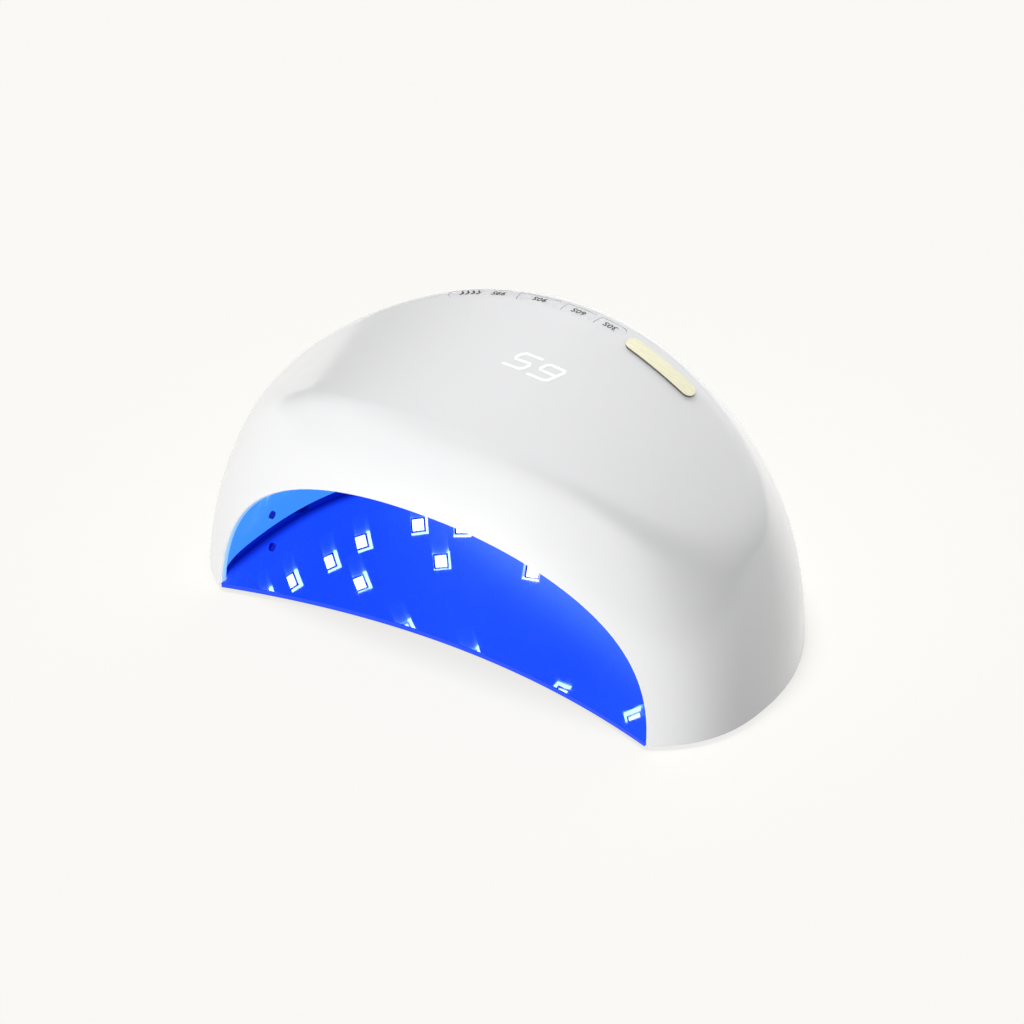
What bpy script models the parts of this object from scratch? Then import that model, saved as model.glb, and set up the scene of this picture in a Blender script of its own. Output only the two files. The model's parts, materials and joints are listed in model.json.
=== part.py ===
"""UV LED nail lamp: a domed white housing with an arched mouth over a removable mirror tray.

Metres, +Z up.  The mouth faces -Y.  The origin is the centre of the footprint, at the height of the
surface that the lamp stands on.  Shapes that the housing shares (its outer surface, the reflector and
the plan outlines) are formulas below, driven by the dimensions at the top.
"""

import math

import bmesh
import bpy
from mathutils import Matrix, Vector

# ---------------------------------------------------------------------------------------------
# Driving dimensions
# ---------------------------------------------------------------------------------------------

GAP = 0.0003  # between pieces that touch
BACKSET = 0.0650  # the housing's own datum, at its mouth, lies this far in front of the origin

# Feet and tray
FOOT_RADIUS = 0.006
FOOT_HEIGHT = 0.0014
FOOT_SPOTS = ((0.090, 0.030), (0.055, 0.105))
TRAY_BOTTOM = FOOT_HEIGHT + GAP
TRAY_THICKNESS = 0.0020
TRAY_TOP = TRAY_BOTTOM + TRAY_THICKNESS
TRAY_INSET = 0.0034  # from the housing's outer footprint
TRAY_FRONT_HOLLOW = 0.0146  # how deep the concave front edge runs
TRAY_FRONT_MIDDLE = 0.0108  # y of the concave edge at its middle, from the housing's datum
KEEPER_RADIUS = 0.0042
KEEPER_THICKNESS = 0.0008

# Outer shell: footprint, rim of the top, and the wall between them
SHELL_BOTTOM = TRAY_BOTTOM
SHELL_THICKNESS = 0.0022
HALF_WIDTH = 0.110
FOOTPRINT = dict(half=HALF_WIDTH, middle=0.042, back=0.0973, front=0.0612, n_back=1.97, n_front=2.72)
RIM = dict(half=0.0972, middle=0.0514, back=0.0352, front=0.0507, n_back=2.12, n_front=2.55)
TOP_FRONT_HEIGHT = 0.0913  # of the top at the front crease, above the shell's bottom
TOP_RISE = 0.0126  # from the front crease to the back rim, along the middle
TOP_RISE_POWER = 1.3
TOP_DROP = 0.0352  # from the middle to each side rim
WALL_REACH_BACK = 0.067  # how far the wall's control point goes towards the rim
WALL_REACH_FRONT = 0.165
WALL_HEIGHT_BACK = 0.567  # the control point's height, as a share of the rim's
WALL_HEIGHT_FRONT = 0.632
ROUND_FRONT = 0.0075  # rounding along the front crease
ROUND_SIDE = 0.0068
ROUND_BACK = 0.0100
TOP_CENTRE = 0.0520  # y of the point that the top's rings close on

# Mouth
MOUTH_HALF = 0.0886
MOUTH_HEIGHT = 0.0646
MOUTH_POWER = 2.3

# Reflector
LINER_THICKNESS = 0.0015
LINER_FOOT = dict(half=0.0930, middle=0.0212, back=0.0971, front=0.068, n_back=2.47, n_front=2.2)
LINER_BOTTOM = TRAY_TOP + 0.0018
LINER_FRONT_FOOT = -0.0120  # y where the foot ends, before it is trimmed behind the shell's front
LINER_RIDGE = (-0.0160, 0.074)  # y of the two ends of its ridge
LINER_HEIGHT = (0.0670, 0.0612)  # of the ridge at those ends, above the shell's bottom
LINER_POWER = 2.1
LINER_CLEARANCE = 0.0008  # to the shell's inner face
FLANGE_BOTTOM = SHELL_BOTTOM + 0.0042
FLANGE_THICKNESS = 0.0015

# LEDs: (y, height) on the left half of the reflector, from the housing's datum, mirrored to the right
LED_SPOTS = (
    (0.0260, 0.0248),
    (0.0402, 0.0247),
    (0.0588, 0.0251),
    (0.0730, 0.0228),
    (0.0916, 0.0214),
    (0.1014, 0.0231),
    (0.0653, 0.0341),
    (0.0921, 0.0331),
    (0.1074, 0.0351),
    (0.0668, 0.0478),
    (0.0753, 0.0550),
)
LED_MIDDLE_RISES = (0.35, 0.90)  # of the two on the middle plane, up the back of the reflector
LED_WINDOW = 0.0080
LED_BOARD = 0.0100
LED_BOARD_THICKNESS = 0.0010
LED_PACKAGE = 0.0052
LED_PACKAGE_HEIGHT = 0.0018
LED_STANDOFF = 0.0006

# Keys and nameplate, along the back of the top
KEY_INSET = 0.0047  # from the rim to the middle of the row
KEY_HALF_BAND = 0.0026
KEY_LEAN = 0.05  # how far an end leans out across the band, as a share of its distance from the middle
KEY_CLEARANCE = 0.0004
KEY_PROUD = 0.0005
KEY_DEPTH = 0.0032
KEY_TRAVEL = 0.0006
KEYS = (
    ("99", -0.0465, -0.0242),
    ("90", -0.0204, -0.0050),
    ("60", -0.0020, 0.0095),
    ("30", 0.0120, 0.0232),
)
PLATE_CENTRE = (0.0413, 0.0760)
PLATE_LENGTH = 0.0300
PLATE_HALF_BAND = 0.0027
PLATE_TURN = -8.0  # degrees, in plan
PLATE_THICKNESS = 0.0010

# Electronics
BOARD_Z = SHELL_BOTTOM + 0.082
BOARD_THICKNESS = 0.0016
BOARD_HALF = 0.0455
BOARD_Y = (0.040, 0.0870)
SWITCH_SIZE = 0.0060
SWITCH_HEIGHT = 0.0030
PLUNGER_RADIUS = 0.0016
PLUNGER_HEIGHT = 0.0009
DISPLAY_CENTRE = (0.0065, 0.0488)
DISPLAY_SIZE = (0.0250, 0.0150, 0.0060)
JACK_Z = SHELL_BOTTOM + 0.018
JACK_BODY = (0.0090, 0.0085, 0.0110)
JACK_COLLAR_RADIUS = 0.0046
JACK_BORE_RADIUS = 0.0031
JACK_PIN_RADIUS = 0.0010

# Fixings
SCREW_SPOTS = ((0.1018, 0.024), (0.0715, 0.104))
MAGNET_SPOTS = ((0.0980, 0.058), (0.045, 0.1205))
MAGNET_RADIUS = 0.0040
MAGNET_HEIGHT = 0.0030
BOSS_RADIUS = 0.0032
POST_SPOTS = ((0.0400, 0.046), (0.0400, 0.066))
POST_RADIUS = 0.0030

# ---------------------------------------------------------------------------------------------
# Scene, materials and small helpers
# ---------------------------------------------------------------------------------------------

for leftover in list(bpy.data.objects):
    bpy.data.objects.remove(leftover)

PARTS = bpy.data.collections.new("uv_led_nail_lamp")
CUTTERS = bpy.data.collections.new("cutters")
for made in (PARTS, CUTTERS):
    bpy.context.scene.collection.children.link(made)


def material(name, colour, roughness=0.4, metallic=0.0):
    made = bpy.data.materials.new(name)
    made.use_nodes = True
    shader = made.node_tree.nodes["Principled BSDF"]
    shader.inputs["Base Color"].default_value = (*colour, 1)
    shader.inputs["Roughness"].default_value = roughness
    shader.inputs["Metallic"].default_value = metallic
    return made


WHITE_ABS = material("white_abs", (0.88, 0.88, 0.88), 0.18)
LINER_PLASTIC = material("reflector_plastic", (0.10, 0.25, 0.95), 0.20)
MIRROR = material("mirror_plate", (0.85, 0.87, 0.92), 0.03, 1.0)
RUBBER = material("rubber", (0.05, 0.05, 0.05), 0.8)
STEEL = material("steel", (0.55, 0.55, 0.56), 0.35, 1.0)
KEY_PLASTIC = material("key_plastic", (0.80, 0.80, 0.81), 0.35)
CHAMPAGNE = material("champagne", (0.86, 0.80, 0.62), 0.25, 0.6)
CIRCUIT = material("circuit_board", (0.05, 0.25, 0.12), 0.5)
LED_MATERIAL = material("led", (0.95, 0.97, 1.0), 0.3)
BLACK_PLASTIC = material("black_plastic", (0.03, 0.03, 0.03), 0.45)
SENSOR = material("sensor_epoxy", (0.04, 0.02, 0.06), 0.15)
WIRE = material("wire_insulation", (0.5, 0.02, 0.02), 0.5)


def place(y, x=0.0, z=0.0):
    """A point given from the housing's datum at the mouth and its bottom edge."""
    return Vector((x, y - BACKSET, z + SHELL_BOTTOM))


def as_node(obj, slot, smooth=True):
    """Puts an object among the parts, with its material."""
    for old in list(obj.users_collection):
        old.objects.unlink(obj)
    PARTS.objects.link(obj)
    obj.data.materials.clear()
    obj.data.materials.append(slot)
    if smooth and obj.type == "MESH":
        obj.data.shade_smooth()
        obj.data.set_sharp_from_angle(angle=math.radians(35))
    return obj


def as_cutter(obj):
    """Puts an object among the helpers that the parts are cut or joined with."""
    for old in list(obj.users_collection):
        old.objects.unlink(obj)
    CUTTERS.objects.link(obj)
    obj.hide_render = True
    obj.display_type = "WIRE"
    return obj


def new_object(name, mesh):
    obj = bpy.data.objects.new(name, mesh)
    bpy.context.scene.collection.objects.link(obj)
    return obj


def boolean(obj, other, operation):
    made = obj.modifiers.new(operation.lower() + "_" + other.name, "BOOLEAN")
    made.operation = operation
    made.object = other
    made.solver = "EXACT"
    return made


def baked(obj):
    """The object with its modifiers applied."""
    graph = bpy.context.evaluated_depsgraph_get()
    mesh = bpy.data.meshes.new_from_object(obj.evaluated_get(graph))
    obj.modifiers.clear()
    obj.data = mesh
    return obj


def box(name, size, centre, turn=None):
    mesh = bpy.data.meshes.new(name)
    bm = bmesh.new()
    bmesh.ops.create_cube(bm, size=1, matrix=Matrix.Diagonal((*size, 1)))
    bm.to_mesh(mesh)
    bm.free()
    obj = new_object(name, mesh)
    obj.matrix_world = Matrix.Translation(centre) @ (turn or Matrix.Identity(4))
    return obj


def cylinder(name, radius, height, base, turn=None, sides=20):
    """A cylinder that stands on its base point, along +Z before the turn."""
    mesh = bpy.data.meshes.new(name)
    bm = bmesh.new()
    bmesh.ops.create_cone(
        bm,
        cap_ends=True,
        segments=sides,
        radius1=radius,
        radius2=radius,
        depth=height,
        matrix=Matrix.Translation((0, 0, height / 2)),
    )
    bm.to_mesh(mesh)
    bm.free()
    obj = new_object(name, mesh)
    obj.matrix_world = Matrix.Translation(base) @ (turn or Matrix.Identity(4))
    return obj


def flat_piece(name, outline, bottom, top):
    """A flat outline of (x, y) points made into a solid between two heights."""
    curve = bpy.data.curves.new(name, "CURVE")
    curve.dimensions = "2D"
    curve.fill_mode = "BOTH"
    curve.extrude = (top - bottom) / 2
    spline = curve.splines.new("POLY")
    spline.points.add(len(outline) - 1)
    for point, (x, y) in zip(spline.points, outline):
        point.co = (x, y, 0, 1)
    spline.use_cyclic_u = True
    guide = new_object(name + "_outline", curve)
    graph = bpy.context.evaluated_depsgraph_get()
    mesh = bpy.data.meshes.new_from_object(guide.evaluated_get(graph))
    bpy.data.objects.remove(guide)
    bm = bmesh.new()
    bm.from_mesh(mesh)
    bmesh.ops.remove_doubles(bm, verts=bm.verts, dist=1e-6)
    bmesh.ops.recalc_face_normals(bm, faces=bm.faces)
    bm.to_mesh(mesh)
    bm.free()
    obj = new_object(name, mesh)
    obj.location = (0, 0, (top + bottom) / 2)
    return obj


def tube(name, route, radius):
    """A wire along a smooth curve through the route's points."""
    curve = bpy.data.curves.new(name, "CURVE")
    curve.dimensions = "3D"
    curve.bevel_depth = radius
    curve.bevel_resolution = 1
    curve.use_fill_caps = True
    spline = curve.splines.new("POLY")
    points = smooth_route(route, 4)
    spline.points.add(len(points) - 1)
    for point, co in zip(spline.points, points):
        point.co = (*co, 1)
    return new_object(name, curve)


def smooth_route(route, steps):
    """Points along a Catmull-Rom curve through the route."""
    ends = [route[0] * 2 - route[1], *route, route[-1] * 2 - route[-2]]
    points = []
    for a, b, c, d in zip(ends, ends[1:], ends[2:], ends[3:]):
        for step in range(steps):
            t = step / steps
            square = 2 * a - 5 * b + 4 * c - d
            cube = 3 * b - a - 3 * c + d
            points.append(0.5 * (2 * b + (c - a) * t + square * t**2 + cube * t**3))
    return points + [route[-1]]


# ---------------------------------------------------------------------------------------------
# Outlines and surfaces, from the housing's datum
# ---------------------------------------------------------------------------------------------


def rounded_plan(angle, plan, inset=0.0):
    """(x, y) of a plan outline made of two half superellipses, at an angle from +X."""
    c, s = math.cos(angle), math.sin(angle)
    power = 2 / (plan["n_back"] if s >= 0 else plan["n_front"])
    reach = plan["back"] if s >= 0 else plan["front"]
    x = (plan["half"] - inset) * math.copysign(abs(c) ** power, c)
    y = plan["middle"] + (reach - inset) * math.copysign(abs(s) ** power, s)
    return x, y


def top_height(x, y):
    """Height of the crowned top above the shell's bottom edge."""
    front = RIM["middle"] - RIM["front"]
    run = (y - front) / (RIM["back"] + RIM["front"])
    across = abs(x) / RIM["half"]
    shoulder = (across**2 - across**3) * max(0.0, 1 - run) ** 2
    return TOP_FRONT_HEIGHT + TOP_RISE * max(0.0, run) ** TOP_RISE_POWER - TOP_DROP * (across**2 - shoulder)


def bezier(a, b, c, t):
    return a * (1 - t) ** 2 + b * 2 * t * (1 - t) + c * t**2


def meridian(angle, wall_steps, round_steps, top_steps):
    """Points up the wall, round the rim and over the top to its centre, at an angle of the plan."""
    x, y = rounded_plan(angle, FOOTPRINT)
    foot = Vector((x, y, 0))
    x, y = rounded_plan(angle, RIM)
    rim = Vector((x, y, top_height(x, y)))
    facing = max(0.0, -math.sin(angle)) ** 2
    reach = WALL_REACH_BACK + (WALL_REACH_FRONT - WALL_REACH_BACK) * facing
    control = foot.lerp(rim, reach)
    control.z = rim.z * (WALL_HEIGHT_BACK + (WALL_HEIGHT_FRONT - WALL_HEIGHT_BACK) * facing)
    end_round = ROUND_FRONT if math.sin(angle) < 0 else ROUND_BACK
    rounding = ROUND_SIDE + (end_round - ROUND_SIDE) * math.sin(angle) ** 2
    wall_end = 1 - rounding / (2 * (rim - control).length)
    points = [bezier(foot, control, rim, wall_end * i / wall_steps) for i in range(wall_steps + 1)]
    centre = Vector((0, TOP_CENTRE))
    outward = rim.xy - centre
    share = 1 - rounding / outward.length
    start = centre + outward * share
    start = Vector((*start, top_height(*start)))
    points += [bezier(points[wall_steps], rim, start, i / round_steps) for i in range(1, round_steps + 1)]
    for i in range(1, top_steps):
        spot = centre + outward * share * (1 - i / top_steps)
        points.append(Vector((*spot, top_height(*spot))))
    return points


def outer_surface(name, sides=96, wall_steps=7, round_steps=4, top_steps=5, offset=0.0, closed=False):
    """The housing's outer surface as rings that close on the top's centre, moved out by an offset."""
    bm = bmesh.new()
    columns = []
    for i in range(sides):
        points = meridian(math.tau * i / sides, wall_steps, round_steps, top_steps)
        columns.append([bm.verts.new(place(p.y, p.x, p.z)) for p in points])
    centre = bm.verts.new(place(TOP_CENTRE, 0, top_height(0, TOP_CENTRE)))
    for left, right in zip(columns, columns[1:] + columns[:1]):
        for low_left, low_right, high_right, high_left in zip(left, right, right[1:], left[1:]):
            bm.faces.new((low_left, low_right, high_right, high_left))
        bm.faces.new((left[-1], right[-1], centre))
    bm.normal_update()
    if offset:
        moves = [(v, v.normal * offset) for v in bm.verts]
        for v, move in moves:
            v.co += move
    if closed:
        bm.faces.new([column[0] for column in reversed(columns)])
    mesh = bpy.data.meshes.new(name)
    bm.to_mesh(mesh)
    bm.free()
    return new_object(name, mesh)


def arch_outline(half, height, power, steps):
    """(x, z) points of the mouth's arch, from its left foot to its right foot."""
    points = []
    for i in range(steps + 1):
        angle = math.pi * i / steps
        c = math.cos(angle)
        across = -half * math.copysign(abs(c) ** (2 / power), c)
        points.append((across, height * math.sin(angle) ** (2 / power)))
    return points


def liner_point(side, rise):
    """A point of the reflector's inner surface.

    side runs from -1 at the mouth's left corner through 0 at the back to 1 at its right corner, and
    rise from 0 at the foot to 1 on the ridge.
    """
    front = abs(LINER_FRONT_FOOT - LINER_FOOT["middle"]) / LINER_FOOT["front"]
    front_angle = -math.asin(front ** (LINER_FOOT["n_front"] / 2))
    angle = math.pi / 2 + (front_angle - math.pi / 2) * abs(side)
    x, y = rounded_plan(angle, LINER_FOOT)
    x = math.copysign(x, side)
    middle = LINER_FOOT["middle"]
    if angle >= 0:
        ridge_y = middle + (LINER_RIDGE[1] - middle) * angle / (math.pi / 2)
    else:
        ridge_y = middle + (LINER_RIDGE[0] - middle) * math.sin(angle) / math.sin(front_angle)
    along = (ridge_y - LINER_RIDGE[0]) / (LINER_RIDGE[1] - LINER_RIDGE[0])
    ridge_z = LINER_HEIGHT[0] + (LINER_HEIGHT[1] - LINER_HEIGHT[0]) * along
    bottom = LINER_BOTTOM - SHELL_BOTTOM
    c = math.cos(rise * math.pi / 2)
    s = math.sin(rise * math.pi / 2)
    inward = 1 - max(c, 0.0) ** (2 / LINER_POWER)
    up = s ** (2 / LINER_POWER)
    return Vector((x * (1 - inward), y + (ridge_y - y) * inward, bottom + (ridge_z - bottom) * up))


def liner_spot(y, height):
    """Where the left half of the reflector has this y and height, as (side, rise), found by halving."""
    low_side, high_side = -1.0, -0.001
    rise = 0.5
    for _ in range(30):
        side = (low_side + high_side) / 2
        low_rise, high_rise = 0.0, 1.0
        for _ in range(24):
            rise = (low_rise + high_rise) / 2
            if liner_point(side, rise).z < height:
                low_rise = rise
            else:
                high_rise = rise
        if liner_point(side, rise).y < y:
            low_side = side
        else:
            high_side = side
    return side, rise


def liner_normal(side, rise):
    """The reflector's outward normal."""
    step = 0.004
    along = liner_point(side + step, rise) - liner_point(side - step, rise)
    up = liner_point(side, rise + step) - liner_point(side, rise - step)
    normal = along.cross(up).normalized()
    return normal if normal.z > 0 else -normal


def row_y(x, inset):
    """y of the line that runs this far inside the rim along the back, at an x."""
    half = RIM["half"] - inset
    share = 1 - (abs(x) / half) ** RIM["n_back"]
    return RIM["middle"] + (RIM["back"] - inset) * share ** (1 / RIM["n_back"])


def round_share(distance):
    """How wide a round end is at a distance from its tip, both as shares of its radius."""
    gone = max(0.0, 1 - distance)
    return math.sqrt(max(0.0, 1 - gone**2))


def band_outline(left, right, round_left, round_right, grow, steps=8):
    """(x, y) outline of a piece of the band of keys along the back rim, in world axes."""
    outer, inner = [], []
    half = KEY_HALF_BAND + grow
    for i in range(steps + 1):
        share = i / steps
        x = left - grow + (right - left + 2 * grow) * share
        narrow_left = round_share((x - left + grow) / half) if round_left else 1
        narrow_right = round_share((right + grow - x) / half) if round_right else 1
        reach = half * max(0.12, min(narrow_left, narrow_right))
        lean = KEY_LEAN * x / 2
        outer.append((x + lean, row_y(x, KEY_INSET - reach)))
        inner.append((x - lean, row_y(x, KEY_INSET + reach)))
    return [(x, y - BACKSET) for x, y in outer + inner[::-1]]


def spread(points, steps):
    """Evenly spaced values from the first to the last."""
    first, last = points
    return [first + (last - first) * i / steps for i in range(steps + 1)]


# ---------------------------------------------------------------------------------------------
# Tray and feet
# ---------------------------------------------------------------------------------------------


def tray_outline():
    """The tray inside the wall, with its concave front edge between the mouth's corners."""
    corner = MOUTH_HALF - 0.0005
    front = []
    for x in spread((-corner, corner), 16):
        front.append((x, TRAY_FRONT_MIDDLE - TRAY_FRONT_HOLLOW * (x / MOUTH_HALF) ** 2 - BACKSET))
    half = HALF_WIDTH - TRAY_INSET
    start = -math.acos((corner / half) ** (FOOTPRINT["n_front"] / 2))
    back = []
    for angle in spread((start, math.pi - start), 48):
        x, y = rounded_plan(angle, FOOTPRINT, TRAY_INSET)
        back.append((x, y - BACKSET))
    return front + back


def make_tray():
    tray = flat_piece("mirror_tray", tray_outline(), TRAY_BOTTOM, TRAY_TOP)
    for i, (x, y) in enumerate(mirrored(MAGNET_SPOTS)):
        depth = KEEPER_THICKNESS + 0.0004
        centre = Vector((x, y - BACKSET, TRAY_TOP - depth))
        pocket = as_cutter(cylinder(f"keeper_pocket_{i + 1}", KEEPER_RADIUS + GAP, depth + 0.001, centre))
        boolean(tray, pocket, "DIFFERENCE")
        base = Vector((centre.x, centre.y, TRAY_TOP - KEEPER_THICKNESS - 0.0001))
        as_node(cylinder(f"keeper_{i + 1}", KEEPER_RADIUS, KEEPER_THICKNESS, base), STEEL)
    as_node(tray, MIRROR)


def mirrored(spots):
    return [(side * x, y) for x, y in spots for side in (-1, 1)]


def make_feet():
    names = ("foot_front_left", "foot_front_right", "foot_rear_left", "foot_rear_right")
    for name, (x, y) in zip(names, mirrored(FOOT_SPOTS)):
        base = Vector((x, y - BACKSET, 0))
        as_node(cylinder(name, FOOT_RADIUS, FOOT_HEIGHT, base, sides=24), RUBBER)


# ---------------------------------------------------------------------------------------------
# Reflector and LEDs
# ---------------------------------------------------------------------------------------------


def led_frames():
    """A frame for each LED: its origin on the reflector's inner face and its Z axis out through it."""
    spots = [liner_spot(y, height) for y, height in LED_SPOTS]
    frames = []
    for side, rise in spots:
        for mirror in (1, -1):
            frames.append(led_frame(side * mirror, rise))
    for rise in LED_MIDDLE_RISES:
        frames.append(led_frame(-0.0001, rise))
    return frames


def led_frame(side, rise):
    point = liner_point(side, rise)
    normal = liner_normal(side, rise)
    across = Vector((0, 0, 1)).cross(normal)
    across = across.normalized() if across.length > 0.2 else Vector((1, 0, 0))
    up = normal.cross(across).normalized()
    turn = Matrix((across, up, normal)).transposed().to_4x4()
    return Matrix.Translation(place(point.y, point.x, point.z)) @ turn


def make_leds(frames):
    for i, frame in enumerate(frames):
        lift = LINER_THICKNESS + LED_STANDOFF
        board_centre = frame @ Vector((0, 0, lift + LED_BOARD_THICKNESS / 2))
        turn = frame.to_3x3().to_4x4()
        board = box(f"led_{i + 1:02d}", (LED_BOARD, LED_BOARD, LED_BOARD_THICKNESS), board_centre, turn)
        package_centre = frame @ Vector((0, 0, lift - LED_PACKAGE_HEIGHT / 2 + 0.0002))
        size = (LED_PACKAGE, LED_PACKAGE, LED_PACKAGE_HEIGHT + 0.0004)
        package = as_cutter(box(f"package_{i + 1:02d}", size, package_centre, turn))
        boolean(board, package, "UNION")
        as_node(board, LED_MATERIAL, smooth=False)


def liner_surface(name):
    """The left half of the reflector's inner surface, mirrored and thickened outwards."""
    sides, rises = 20, 10
    bm = bmesh.new()
    grid = []
    for i in range(sides + 1):
        column = []
        for j in range(rises + 1):
            point = liner_point(-1 + i / sides, j / rises)
            x = 0.0 if i == sides or j == rises else point.x
            column.append(bm.verts.new(place(point.y, x, point.z)))
        grid.append(column)
    for left, right in zip(grid, grid[1:]):
        for a, b, c, d in zip(left, left[1:], right[1:], right):
            bm.faces.new((a, b, c, d))
    mesh = bpy.data.meshes.new(name)
    bm.to_mesh(mesh)
    bm.free()
    liner = new_object(name, mesh)
    mirror = liner.modifiers.new("other_half", "MIRROR")
    mirror.use_clip = True
    mirror.merge_threshold = 0.0001
    thicken = liner.modifiers.new("thickness", "SOLIDIFY")
    thicken.thickness = LINER_THICKNESS
    thicken.offset = 1
    thicken.use_even_offset = True
    return liner


def flange():
    """The flat rim round the reflector's foot, which the screws and magnets go through."""
    bottom = FLANGE_BOTTOM
    top = FLANGE_BOTTOM + FLANGE_THICKNESS
    outer = []
    for angle in spread((0, math.tau), 56)[:-1]:
        x, y = rounded_plan(angle, FOOTPRINT, 0.0036)
        outer.append((x, y - BACKSET))
    rim = flat_piece("flange", outer, bottom, top)
    inner = []
    for angle in spread((0, math.tau), 56)[:-1]:
        x, y = rounded_plan(angle, LINER_FOOT, -0.0007)
        inner.append((x, y - BACKSET))
    hole = as_cutter(flat_piece("flange_hole", inner, bottom - 0.001, top + 0.001))
    boolean(rim, hole, "DIFFERENCE")
    front = place(-0.045, 0, 0.005)
    mouth = as_cutter(box("flange_front", (0.3, 0.090, 0.02), front))
    boolean(rim, mouth, "DIFFERENCE")
    for i, (x, y) in enumerate(mirrored(MAGNET_SPOTS)):
        base = Vector((x, y - BACKSET, bottom - 0.001))
        cut = as_cutter(cylinder(f"magnet_hole_{i + 1}", MAGNET_RADIUS + 0.0003, 0.005, base))
        boolean(rim, cut, "DIFFERENCE")
    for i, (x, y) in enumerate(mirrored(SCREW_SPOTS)):
        base = Vector((x, y - BACKSET, bottom - 0.001))
        cut = as_cutter(cylinder(f"screw_hole_{i + 1}", 0.0016, 0.005, base, sides=12))
        boolean(rim, cut, "DIFFERENCE")
    return as_cutter(baked(rim))


def joined_boxes(name, frames, size, depth):
    """One helper mesh with a square cutter at each frame."""
    mesh = bpy.data.meshes.new(name)
    bm = bmesh.new()
    for frame in frames:
        bmesh.ops.create_cube(bm, size=1, matrix=frame @ Matrix.Diagonal((size, size, depth, 1)))
    bm.to_mesh(mesh)
    bm.free()
    return as_cutter(new_object(name, mesh))


def sensor_frames():
    """The emitter's and receiver's places, along X, at the hollow's two sides."""
    return [place(0.0342, side * 0.0924, 0.0088) for side in (-1, 1)]


def make_reflector(frames):
    liner = liner_surface("inner_reflector")
    boolean(liner, flange(), "UNION")
    boolean(liner, envelope("liner_limit", -SHELL_THICKNESS - LINER_CLEARANCE), "INTERSECT")
    boolean(liner, joined_boxes("led_windows", frames, LED_WINDOW, 0.008), "DIFFERENCE")
    for i, spot in enumerate(sensor_frames()):
        turn = Matrix.Rotation(math.pi / 2, 4, "Y")
        hole = cylinder(f"sensor_hole_{i + 1}", 0.0018, 0.008, spot - Vector((0.004, 0, 0)), turn, sides=16)
        boolean(liner, as_cutter(hole), "DIFFERENCE")
    as_node(liner, LINER_PLASTIC)


def make_sensors():
    for name, spot in zip(("ir_emitter", "ir_receiver"), sensor_frames()):
        outward = math.copysign(1, spot.x)
        turn = Matrix.Rotation(outward * math.pi / 2, 4, "Y")
        base = spot - Vector((outward * 0.0003, 0, 0))
        as_node(cylinder(name, 0.0015, 0.0052, base, turn, sides=16), SENSOR)


# ---------------------------------------------------------------------------------------------
# Outer shell, keys and nameplate
# ---------------------------------------------------------------------------------------------


def envelope(name, offset):
    """The whole volume inside the outer surface, grown by an offset."""
    return as_cutter(outer_surface(name, offset=offset, closed=True))


def bosses():
    """Screw bosses and board posts, cut off just inside the outer surface."""
    bm = bmesh.new()
    columns = [(x, y, BOSS_RADIUS, FLANGE_BOTTOM + FLANGE_THICKNESS + GAP) for x, y in mirrored(SCREW_SPOTS)]
    columns += [(x, y, POST_RADIUS, BOARD_Z + BOARD_THICKNESS + GAP) for x, y in mirrored(POST_SPOTS)]
    for x, y, radius, bottom in columns:
        height = 0.12 - bottom
        where = Matrix.Translation((x, y - BACKSET, bottom + height / 2))
        bmesh.ops.create_cone(
            bm, cap_ends=True, segments=16, radius1=radius, radius2=radius, depth=height, matrix=where
        )
    mesh = bpy.data.meshes.new("bosses")
    bm.to_mesh(mesh)
    bm.free()
    posts = as_cutter(new_object("bosses", mesh))
    boolean(posts, envelope("boss_limit", -0.0010), "INTERSECT")
    return as_cutter(baked(posts))


def key_outline(label, grow):
    left, right = next((a, b) for name, a, b in KEYS if name == label)
    first, last = label == KEYS[0][0], label == KEYS[-1][0]
    return band_outline(left, right, first, last, grow)


def plate_outline(steps=8):
    """(x, y) outline of the nameplate, with round ends, in world axes."""
    turn = Matrix.Rotation(math.radians(PLATE_TURN), 2)
    centre = Vector((PLATE_CENTRE[0], PLATE_CENTRE[1] - BACKSET))
    reach = PLATE_LENGTH / 2 - PLATE_HALF_BAND
    outline = []
    for side in (1, -1):
        for angle in spread((-math.pi / 2, math.pi / 2), steps):
            spot = Vector((reach + PLATE_HALF_BAND * math.cos(angle), PLATE_HALF_BAND * math.sin(angle)))
            outline.append(tuple(centre + turn @ (spot * side)))
    return outline


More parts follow.
